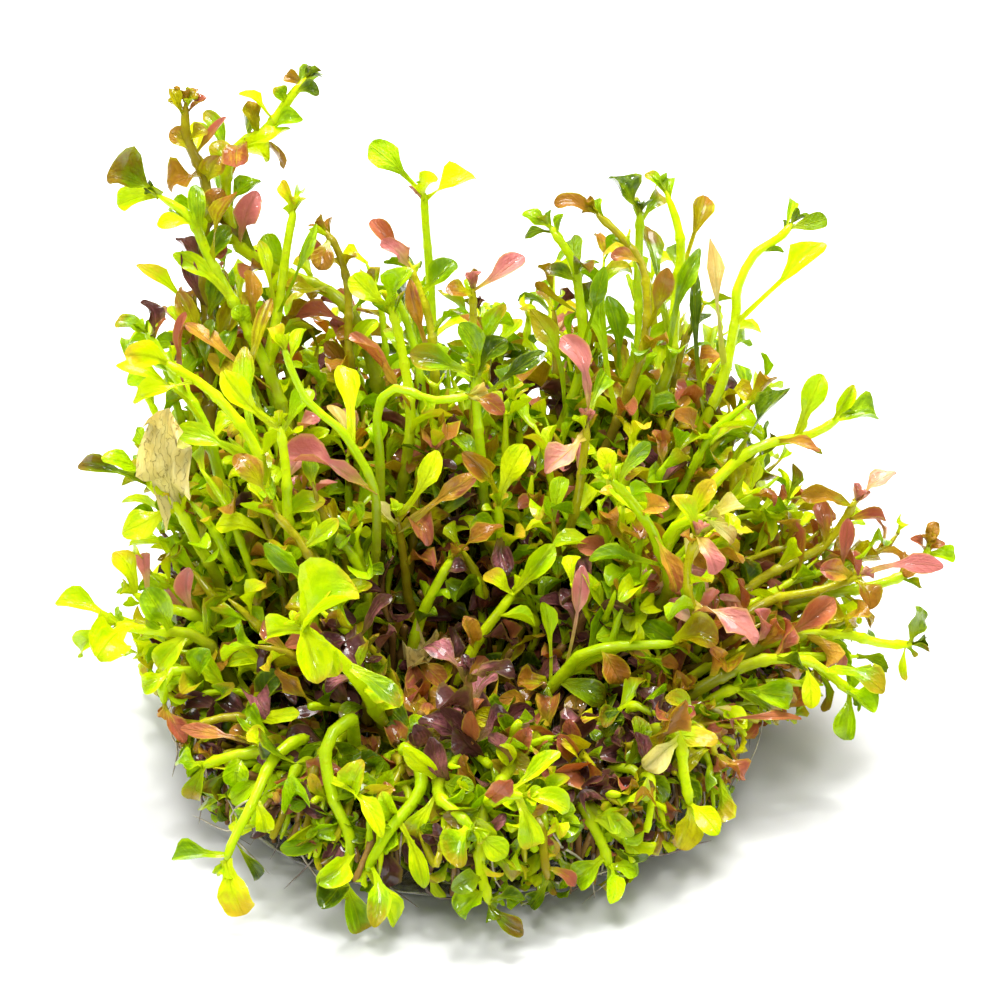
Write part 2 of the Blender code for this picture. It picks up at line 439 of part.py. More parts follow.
def grown(shoot, placed):
    """The shoot's route, slid along the lines of sight where it would meet a stem that is placed."""
    for slide in PATH_SLIDES:
        path = [seen(across, down, back + slide) for across, down, back in shoot.path]
        for foot in spiral(shoot.root):
            route = clear_route(foot, path, placed)
            if route:
                return route
    raise ValueError(f"{shoot.name} meets other stems wherever it stands")


class Blade:
    """A leaf's place in the air: its foot on the stem, its tip, and which way its face looks."""

    def __init__(self, foot, tip, width, facing):
        self.foot = foot
        self.tip = tip
        self.width = width
        self.ahead = (tip - foot).normalized()
        self.face = (facing - self.ahead * facing.dot(self.ahead)).normalized()
        self.side = self.face.cross(self.ahead)
        self.length = (tip - foot).length
        self.middle = foot.lerp(tip, LEAF_WIDEST) + self.face * (LEAF_BOW * self.length)

    def ring(self, centre, width, thickness):
        """The four corners of a section of the blade, in order about its direction."""
        across = self.side * (width / 2)
        through = self.face * (thickness / 2)
        return [
            centre + across + through,
            centre - across + through,
            centre - across - through,
            centre + across - through,
        ]

    def samples(self):
        """Points spread over the blade, without the foot that it shares with the stem."""
        points = []
        rows = max(3, round(self.length / SAMPLE_SPACING))
        for row in range(1, rows + 1):
            share = row / rows
            if share < FOOT_SHARE:
                continue
            if share < LEAF_WIDEST:
                swell = share / LEAF_WIDEST
                centre = self.foot.lerp(self.middle, swell)
            else:
                past = (share - LEAF_WIDEST) / (1 - LEAF_WIDEST)
                swell = 1 - (1 - TIP_WIDTH / 2) * past
                centre = self.middle.lerp(self.tip, past)
            half = self.width / 2 * swell
            columns = max(1, round(half / SAMPLE_SPACING))
            for column in range(-columns, columns + 1):
                points.append(centre + self.side * (half * column / columns))
        return as_array(points)


def clear_of_gel(points, reach):
    """Whether points that thick are outside the puck and above the surface that it stands on."""
    above = points[:, 2] > GEL_HEIGHT + GEL_RIM_RISE + reach - GAP
    outside = np.hypot(points[:, 0], points[:, 1]) > GEL_TOP_RADIUS + GAP + reach
    return bool((above | outside).all() and (points[:, 2] > FLOOR_CLEARANCE + reach).all())


class Clump:
    """The space that stems and leaves take up, so that each new one is kept clear of the rest."""

    def __init__(self):
        self.stems = {}
        self.blades = []

    def takes(self, name, blade):
        """Whether the blade is clear of everything, and if so, keeps its place."""
        points = blade.samples()
        if not clear_of_gel(points, LEAF_REACH):
            return False
        for other, stem in self.stems.items():
            outer = points
            if other == name:
                outer = points[np.linalg.norm(points - np.array(blade.foot), axis=1) > FOOT_REACH]
            if len(outer) and nearest(outer, stem) < STEM_REACH + LEAF_REACH:
                return False
        for points_there in self.blades:
            if nearest(points, points_there) < 2 * LEAF_REACH + GAP:
                return False
        self.blades.append(points)
        return True


def facing_of(draw):
    """Which way a leaf's face looks: up and toward the eye, a little turned."""
    turn = Vector([draw.uniform(-most, most) for most in FACE_TURNS])
    return Vector((0.0, 0.0, FACE_UP)) - AHEAD * FACE_EYE + turn


def seen_blade(leaf, foot, slide, facing):
    """A measured leaf's blade, its tip slid along the line of sight by `slide`."""
    depth = (foot - EYE).dot(AHEAD) - leaf.toward - slide
    tip = EYE + sight_line(leaf.across, leaf.down) * depth
    return Blade(foot, tip, leaf.width * LEAF_SPREAD, facing)


def measured_blades(shoot, route, clump):
    """The shoot's measured leaves, each with the share of the stem where it grows."""
    draw = random.Random(shoot.name)
    blades = []
    for leaf in shoot.leaves:
        foot, _ = place_on(route, leaf.at)
        facing = facing_of(draw)
        for slide in LEAF_SLIDES:
            blade = seen_blade(leaf, foot, slide, facing)
            if clump.takes(shoot.name, blade):
                blades.append((leaf.at, blade))
                break
    return blades


def paired_blades(name, route, shares, size, clump):
    """Leaves in crossed pairs at those shares of the stem, left out where there is no room."""
    draw = random.Random(name + " pairs")
    blades = []
    for row, share in enumerate(shares):
        foot, ahead = place_on(route, share)
        across = ahead.cross(PAIR_ACROSS).normalized()
        turn = row * math.pi / 2 + draw.uniform(-PAIR_TURN, PAIR_TURN)
        for side in (0.0, math.pi):
            for extra in LEAF_TURNS:
                out = Matrix.Rotation(turn + side + extra, 3, ahead) @ across
                way = (out + ahead * draw.uniform(*PAIR_LIFT)).normalized()
                tip = foot + way * (size[0] * draw.uniform(*PAIR_LENGTHS))
                blade = Blade(foot, tip, size[1], ahead + PAIR_FACE_RISE)
                if clump.takes(name, blade):
                    blades.append((share, blade))
                    break
    return blades


def leaf_nodes(blades):
    """Blades grouped by the node of the stem that they grow from, lowest first, four at most."""
    nodes = []
    for share, blade in sorted(blades, key=lambda pair: pair[0]):
        if nodes and share - nodes[-1][0] < SAME_NODE and len(nodes[-1][1]) < LEAVES_A_NODE:
            nodes[-1][1].append(blade)
        else:
            nodes.append((share, [blade]))
    return nodes


def stem_rings(length, nodes):
    """The shares of the stem's length where its rings stand, with two rings round each leaf node."""
    half = NODE_HEIGHT / 2 / length
    rings = [(0.0, 1.0, None)]
    last = 0.0
    for share, blades in nodes:
        centre = min(max(share, last + 3 * half), 1 - 1.5 * half)
        gap = (centre - half - last) * length
        extra = math.floor(gap / RING_SPACING)
        for step in range(1, extra + 1):
            rings.append((last + (centre - half - last) * step / (extra + 1), 1.0, None))
        rings.append((centre - half, NODE_SWELL, None))
        rings.append((centre + half, NODE_SWELL, blades))
        last = centre + half
    rest = (1 - last) * length
    for step in range(1, math.floor(rest / RING_SPACING) + 1):
        rings.append((last + (1 - last) * step / (math.floor(rest / RING_SPACING) + 1), 1.0, None))
    rings.append((1.0, BUD_WIDTH, None))
    return rings


def set_ring(verts, corners):
    """Moves a face's corners onto a ring of points, matched so that the tube isn't twisted."""
    shifts = [corners[step:] + corners[:step] for step in range(4)]
    centre = sum((v.co for v in verts), Vector()) / 4
    middle = sum(corners, Vector()) / 4

    def twist(shift):
        """How far the corners' directions about the middle are from the face's."""
        return sum(
            ((vert.co - centre).normalized() - (corner - middle).normalized()).length
            for vert, corner in zip(verts, shift)
        )

    best = min(shifts, key=twist)
    for vert, corner in zip(verts, best):
        vert.co = corner


def extruded(mesh, face):
    """The face that ends the tube extruded from this one."""
    made = bmesh.ops.extrude_discrete_faces(mesh, faces=[face])
    return made["faces"][0]


def grow_leaf(mesh, face, blade):
    """Draws a leaf out of a side face of the stem: its widest section, then its tip or point."""
    face = extruded(mesh, face)
    set_ring(face.verts[:], blade.ring(blade.middle, blade.width, LEAF_THICKNESS))
    face = extruded(mesh, face)
    if blade.width > ROUND_TIP_WIDTH:
        end = blade.ring(blade.tip, blade.width * TIP_WIDTH, LEAF_THICKNESS * TIP_THICKNESS)
        set_ring(face.verts[:], end)
    else:
        bmesh.ops.pointmerge(mesh, verts=face.verts[:], merge_co=blade.tip)


def best_sides(sides, blades):
    """A side face of the node for each leaf, so that the leaves grow outwards as squarely as they can."""
    return max(
        itertools.permutations(sides, len(blades)),
        key=lambda order: sum(side.normal.dot(blade.ahead) for side, blade in zip(order, blades)),
    )


def shoot_mesh(route, blades):
    """A shoot's closed mesh: a four-sided stem, with leaves drawn out of the side faces of its nodes."""
    mesh = bmesh.new()
    length = sum((b - a).length for a, b in zip(route, route[1:]))
    rings = stem_rings(length, leaf_nodes(blades))
    bmesh.ops.create_circle(mesh, segments=4, radius=STEM_WIDTH / 2, cap_ends=True)
    face = mesh.faces[:][0]
    point, ahead = place_on(route, 0.0)
    frame = Vector((0.0, 0.0, 1.0)).rotation_difference(ahead)
    if face.normal.z < 0:
        face.normal_flip()
    offsets = [v.co.copy() for v in face.verts]
    for vert, offset in zip(face.verts, offsets):
        vert.co = point + frame @ offset
    for share, width, ring_blades in rings[1:]:
        point, next_ahead = place_on(route, share)
        frame = ahead.rotation_difference(next_ahead) @ frame
        ahead = next_ahead
        faces_before = set(mesh.faces)
        face = extruded(mesh, face)
        for vert, offset in zip(face.verts, offsets):
            vert.co = point + frame @ (offset * width)
        if ring_blades:
            sides = [f for f in mesh.faces if f not in faces_before and f is not face]
            for side in sides:
                side.normal_update()
            for side, blade in zip(best_sides(sides, ring_blades), ring_blades):
                grow_leaf(mesh, side, blade)
    bmesh.ops.holes_fill(mesh, edges=[e for e in mesh.edges if e.is_boundary], sides=4)
    bmesh.ops.recalc_face_normals(mesh, faces=mesh.faces[:])
    bmesh.ops.triangulate(mesh, faces=mesh.faces[:])
    return mesh


def crosses_itself(mesh):
    """Whether two of the mesh's triangles that share no corner meet."""
    mesh.faces.ensure_lookup_table()
    tree = BVHTree.FromBMesh(mesh)
    return any(
        a < b and not set(mesh.faces[a].verts) & set(mesh.faces[b].verts)
        for a, b in tree.overlap(tree)
    )


def grow_shoot(name, colour, route, blades):
    """One shoot as one body. A leaf that would cut through it moves down the stem, or is left out."""
    kept = []
    for share, blade in blades:
        for lower in NODE_SHIFTS:
            mesh = shoot_mesh(route, [*kept, (share - lower, blade)])
            crossed = crosses_itself(mesh)
            mesh.free()
            if not crossed:
                kept.append((share - lower, blade))
                break
    mesh = shoot_mesh(route, kept)
    bmesh.ops.scale(mesh, vec=(MM, MM, MM), verts=mesh.verts[:])
    return add_object(name, mesh, colour)


def material_of(colour):
    """The finish of that colour, made once."""
    name = colour if colour == "gel" else "leaf_" + colour
    found = bpy.data.materials.get(name)
    if found:
        return found
    material = bpy.data.materials.new(name)
    material.use_nodes = True
    shader = material.node_tree.nodes["Principled BSDF"]
    shader.inputs["Base Color"].default_value = COLOURS[colour]
    shader.inputs["Roughness"].default_value = 0.1 if colour == "gel" else 0.35
    shader.inputs["Metallic"].default_value = 0.0
    if colour == "gel":
        shader.inputs["Transmission Weight"].default_value = 1.0
        shader.inputs["IOR"].default_value = 1.34
    return material


def add_object(name, mesh, colour):
    """Puts a finished mesh in the scene."""
    data = bpy.data.meshes.new(name)
    mesh.to_mesh(data)
    mesh.free()
    made = bpy.data.objects.new(name, data)
    made.data.materials.append(material_of(colour))
    collection().objects.link(made)
    return made


def collection():
    """The collection that holds the clump."""
    found = bpy.data.collections.get("rotala_clump")
    if not found:
        found = bpy.data.collections.new("rotala_clump")
        bpy.context.scene.collection.children.link(found)
    return found


def build_gel():
    """The puck of clear gel: a tapered disc with a low rim where the gel climbed the cup's wall."""
    profile = [
        (0.0, GEL_HEIGHT),
        (GEL_TOP_RADIUS - GEL_RIM_WIDTH, GEL_HEIGHT),
        (GEL_TOP_RADIUS - GEL_RIM_FLAT, GEL_HEIGHT + GEL_RIM_RISE),
        (GEL_TOP_RADIUS, GEL_HEIGHT + GEL_RIM_RISE),
        (GEL_FOOT_RADIUS, GEL_FOOT_ROUND),
        (GEL_FOOT_RADIUS - GEL_FOOT_ROUND, 0.0),
        (0.0, 0.0),
    ]
    mesh = bmesh.new()
    corners = [mesh.verts.new((x * MM, 0.0, z * MM)) for x, z in profile]
    for start, end in zip(corners, corners[1:]):
        mesh.edges.new((start, end))
    made = add_object("gel_puck", mesh, "gel")
    turned = made.modifiers.new("turned", "SCREW")
    turned.steps = turned.render_steps = GEL_STEPS
    turned.use_merge_vertices = True
    turned.merge_threshold = 0.00001
    turned.use_smooth_shade = False


def build_clump():
    """The gel and every shoot in it."""
    for old in list(bpy.data.objects):
        bpy.data.objects.remove(old)
    build_gel()
    clump = Clump()
    routes = {}
    for shoot in SHOOTS:
        routes[shoot.name] = grown(shoot, [as_array(r) for r in routes.values()])
    sprigs = back_shoot_routes(routes)
    sprigs.update(low_sprig_routes({**routes, **sprigs}))
    for name, route in {**routes, **sprigs}.items():
        clump.stems[name] = as_array(route)
    blades = {shoot.name: measured_blades(shoot, routes[shoot.name], clump) for shoot in SHOOTS}
    for shoot in SHOOTS:
        shares = LONG_STEM_PAIRS if len(shoot.path) > LONG_STEM else SHORT_STEM_PAIRS
        size = (PAIR_LEAF_LENGTH, PAIR_LEAF_WIDTH)
        if shoot.name not in BARE_SHOOTS:
            blades[shoot.name] += paired_blades(shoot.name, routes[shoot.name], shares, size, clump)
        grow_shoot("shoot_" + shoot.name, shoot.colour, routes[shoot.name], blades[shoot.name])
    for name, route in sprigs.items():
        low = name.startswith("low")
        leaves = paired_blades(name, route, SPRIG_PAIRS if low else BACK_PAIRS, SPRIG_LEAF, clump)
        grow_shoot(name, "mauve" if low else "green", route, leaves)


def back_shoot_routes(routes):
    """The stems that lean outwards at the back."""
    made = {}
    for bearing, lean, height in BACK_SHOOTS:
        out = Vector((math.cos(math.radians(bearing)), math.sin(math.radians(bearing)), 0.0))
        placed = [as_array(r) for r in [*routes.values(), *made.values()]]
        tip = out * lean + Vector((0, 0, height))
        bend = out * (lean * BACK_BEND[0]) + Vector((0, 0, height * BACK_BEND[1]))
        tries = (
            clear_route(foot, [foot + bend, foot + tip], placed)
            for foot in spiral(out * BACK_ROOT_RADIUS)
        )
        route = next((found for found in tries if found), None)
        if route:
            made[f"shoot_back_{round(bearing)}"] = route
    return made


def low_sprig_routes(routes):
    """Short stems in the gaps between the shoots, spread over the middle of the gel."""
    draw = random.Random("low sprigs")
    made = {}
    for step in range(LOW_SPRIGS):
        reach = LOW_SPRIG_RING[0] + LOW_SPRIG_RING[1] * math.sqrt((step + 0.5) / LOW_SPRIGS)
        turn = GOLDEN_ANGLE * step
        root = (reach * math.cos(turn), reach * math.sin(turn) - LOW_SPRIG_FORWARD)
        rise = Vector([draw.uniform(low, high) for low, high in LOW_SPRIG_RISE])
        placed = [as_array(r) for r in [*routes.values(), *made.values()]]
        tries = (clear_route(foot, [foot + rise], placed) for foot in spiral(root))
        route = next((found for found in tries if found), None)
        if route:
            made[f"low_sprig_{step + 1}"] = route
    return made


build_clump()
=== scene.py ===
"""Looks of a rotala clump: leafy shoots that lean out of a low puck of clear culture gel.

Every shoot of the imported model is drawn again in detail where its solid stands: a round stem with
swollen nodes, and thin cupped leaves. Short shoots fill the space between them, and fine roots run in the
gel. Lengths are in millimetres until a mesh is finished. A place in the view is given in hundredths of
the view's width, from its left and from its top.
"""

import json
import logging
import math
import random
from collections.abc import Iterator
from dataclasses import dataclass, field
from enum import Enum
from functools import cache

import bmesh
import bpy
import numpy as np
from mathutils import Matrix, Vector


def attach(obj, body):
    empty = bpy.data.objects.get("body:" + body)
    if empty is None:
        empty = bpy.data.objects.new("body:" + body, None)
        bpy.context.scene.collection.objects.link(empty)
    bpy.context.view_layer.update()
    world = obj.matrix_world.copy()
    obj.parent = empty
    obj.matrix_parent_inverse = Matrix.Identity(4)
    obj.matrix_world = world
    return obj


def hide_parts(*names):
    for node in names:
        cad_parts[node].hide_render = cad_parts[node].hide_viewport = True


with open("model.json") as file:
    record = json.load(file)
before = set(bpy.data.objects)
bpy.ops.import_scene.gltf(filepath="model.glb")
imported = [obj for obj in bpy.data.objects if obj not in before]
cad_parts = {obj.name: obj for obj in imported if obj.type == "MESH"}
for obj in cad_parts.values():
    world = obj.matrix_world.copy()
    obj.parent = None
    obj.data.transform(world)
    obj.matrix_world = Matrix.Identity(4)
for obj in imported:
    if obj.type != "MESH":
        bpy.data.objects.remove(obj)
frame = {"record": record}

LOG = logging.getLogger("rotala")
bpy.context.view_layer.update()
MM = 0.001
GOLDEN_ANGLE = math.radians(137.508)
Colour = tuple[float, float, float]


class Finish(Enum):
    """The finishes of leaves and stems, by the letter that the tables use."""

    LIME = "l"
    GREEN = "g"
    DARK = "d"
    OLIVE = "o"
    RUST = "r"
    PINK = "p"
    MAUVE = "m"
    BEIGE = "b"
    WITHERED = "w"
    LIME_STEM = "L"
    OLIVE_STEM = "O"
    MAUVE_STEM = "M"


@dataclass(frozen=True)
class PlantFinish:
    """How one kind of leaf or stem looks.

    `fresh` and `full` are the two ends of its colour, `foot` the colour where it grows out, `old` that of
    an aged tip, `glow` the light that comes through it and `through` how much of it does.
    """

    fresh: Colour
    full: Colour
    foot: Colour
    old: Colour
    glow: Colour
    through: float
    roughness: float
    wet: float


FINISHES = {
    Finish.LIME: PlantFinish(
        (0.82, 0.93, 0.002), (0.42, 0.66, 0.002), (0.81, 0.90, 0.01), (0.82, 0.42, 0.03),
        (0.87, 0.96, 0.002), 0.44, 0.30, 0.6),
    Finish.GREEN: PlantFinish(
        (0.51, 0.74, 0.002), (0.16, 0.29, 0.002), (0.73, 0.87, 0.006), (0.54, 0.30, 0.012),
        (0.58, 0.82, 0.002), 0.38, 0.26, 0.8),
    Finish.DARK: PlantFinish(
        (0.23, 0.37, 0.002), (0.055, 0.105, 0.002), (0.52, 0.64, 0.006), (0.28, 0.12, 0.008),
        (0.34, 0.48, 0.002), 0.28, 0.22, 1.0),
    Finish.OLIVE: PlantFinish(
        (0.62, 0.60, 0.004), (0.29, 0.21, 0.003), (0.67, 0.75, 0.006), (0.42, 0.13, 0.02),
        (0.72, 0.62, 0.004), 0.36, 0.26, 0.8),
    Finish.RUST: PlantFinish(
        (0.76, 0.44, 0.04), (0.36, 0.11, 0.03), (0.60, 0.62, 0.01), (0.42, 0.10, 0.07),
        (0.82, 0.38, 0.04), 0.34, 0.26, 0.8),
    Finish.PINK: PlantFinish(
        (0.92, 0.62, 0.38), (0.78, 0.34, 0.27), (0.80, 0.72, 0.06), (0.60, 0.17, 0.18),
        (0.94, 0.52, 0.33), 0.36, 0.28, 0.7),
    Finish.MAUVE: PlantFinish(
        (0.40, 0.13, 0.14), (0.095, 0.024, 0.030), (0.28, 0.22, 0.02), (0.05, 0.018, 0.01),
        (0.42, 0.11, 0.10), 0.22, 0.20, 1.0),
    Finish.BEIGE: PlantFinish(
        (0.90, 0.82, 0.34), (0.76, 0.64, 0.14), (0.72, 0.82, 0.04), (0.70, 0.40, 0.12),
        (0.94, 0.88, 0.26), 0.38, 0.30, 0.6),
    Finish.WITHERED: PlantFinish(
        (0.95, 0.88, 0.46), (0.86, 0.72, 0.26), (0.86, 0.76, 0.30), (0.70, 0.50, 0.14),
        (0.97, 0.90, 0.46), 0.40, 0.20, 1.0),
    Finish.LIME_STEM: PlantFinish(
        (0.77, 0.93, 0.004), (0.48, 0.71, 0.003), (0.21, 0.21, 0.006), (0.53, 0.44, 0.01),
        (0.83, 0.96, 0.004), 0.34, 0.26, 0.7),
    Finish.OLIVE_STEM: PlantFinish(
        (0.60, 0.59, 0.008), (0.33, 0.26, 0.006), (0.15, 0.10, 0.008), (0.34, 0.15, 0.01),
        (0.64, 0.58, 0.008), 0.24, 0.26, 0.8),
    Finish.MAUVE_STEM: PlantFinish(
        (0.32, 0.18, 0.04), (0.17, 0.08, 0.02), (0.08, 0.05, 0.01), (0.08, 0.03, 0.01),
        (0.36, 0.14, 0.04), 0.14, 0.24, 0.9),
}


@dataclass(frozen=True)
class Eye:
    """Where the clump is seen from, in millimetres."""

    tilt: float = math.radians(30.0)
    width: float = 112.2
    distance: float = 320.0
    aim: tuple[float, float, float] = (4.2, 13.5, 23.4)

    @property
    def up(self) -> Vector:
        """The way that is up in the view."""
        return Vector((0.0, math.sin(self.tilt), math.cos(self.tilt)))

    @property
    def ahead(self) -> Vector:
        """The way that the eye looks."""
        return Vector((0.0, math.cos(self.tilt), -math.sin(self.tilt)))

    @property
    def place(self) -> Vector:
        """The eye's own place."""
        return Vector(self.aim) - self.ahead * self.distance

    @property
    def half_up(self) -> Vector:
        """The way that a leaf faces which looks half up and half at the eye."""
        return Vector((0.0, 0.0, 0.7)) - self.ahead * 0.8

    def sight_line(self, across: float, down: float) -> Vector:
        """The line of sight to a place in the view, one millimetre deep."""
        right = (across / 100 - 0.5) * self.width
        rise = (0.5 - down / 100) * self.width
        return self.ahead + (Vector((1.0, 0.0, 0.0)) * right + self.up * rise) / self.distance

    def seen(self, across: float, down: float, back: float) -> Vector:
        """The point on that line of sight that lies `back` behind the puck's middle."""
        ray = self.sight_line(across, down)
        return self.place + ray * ((back - self.place.y) / ray.y)

    def depths(self, points: np.ndarray) -> np.ndarray:
        """How far points are ahead of the eye."""
        return (points - np.array(self.place)) @ np.array(self.ahead)

    def places(self, points: np.ndarray) -> np.ndarray:
        """Where points show in the view.

        Args:
            points: Rows of x, y and z.

        Returns:
            Rows of hundredths from the view's left and from its top.
        """
        steps = points - np.array(self.place)
        depth = self.depths(points)
        across = steps[:, 0] / depth * self.distance / self.width
        rise = steps @ np.array(self.up) / depth * self.distance / self.width
        return np.stack([(across + 0.5) * 100, (0.5 - rise) * 100], axis=1)


EYE = Eye()


@dataclass
class Leaf:
    """A measured leaf, as the solids have it.

    `at` is the share of the stem where it grows, `across` and `down` the place of its tip in the view,
    `toward` how much nearer to the eye its tip is, `width` its width in millimetres, and `letter` its finish.
    """

    at: float
    across: float
    down: float
    toward: float
    width: float
    letter: str

    def tip(self, foot: Vector, slide: float = 0.0) -> Vector:
        """Where its tip is if it grows from that foot, and slides towards the eye."""
        depth = (foot - EYE.place).dot(EYE.ahead) - self.toward - slide
        return EYE.place + EYE.sight_line(self.across, self.down) * depth


LeafRow = tuple[int, int, int, float, float, str]


@dataclass
class Shoot:
    """A measured shoot: its stem's finish, its root on the gel, the places it passes and its leaves.

    Its table gives the places in thousandths of the view, each with how far behind the middle it is. A row of
    `rows` is a leaf, with the share of the stem in hundredths. `more` are small leaves that fill it out.
    `bare` says that its stem carries few leaves, `dark_foot` that it is dark and old for most of its length
    although it is bare, and `folded` that its leaves are folded lengthwise and run to a point. `radius` is
    its stem's, and `clear` how wide a space about it stays free in the view.
    """

    name: str
    stem: str
    root: tuple[float, float]
    places: list[tuple[int, int, float]]
    rows: list[LeafRow]
    more: list[LeafRow] = field(default_factory=list)
    bare: bool = False
    dark_foot: bool = False
    folded: bool = False
    radius: float = 0.0
    clear: float = 1.25

    def __post_init__(self) -> None:
        """Turns the table's numbers into the stem's path and the leaves."""
        self.radius = self.radius or (0.66 if self.stem == "O" else 0.76)
        self.path = [(across / 10, down / 10, back) for across, down, back in self.places]
        self.leaves, self.finer = (
            [Leaf(at / 100, across / 10, down / 10, *rest) for at, across, down, *rest in rows]
            for rows in (self.rows, self.more)
        )


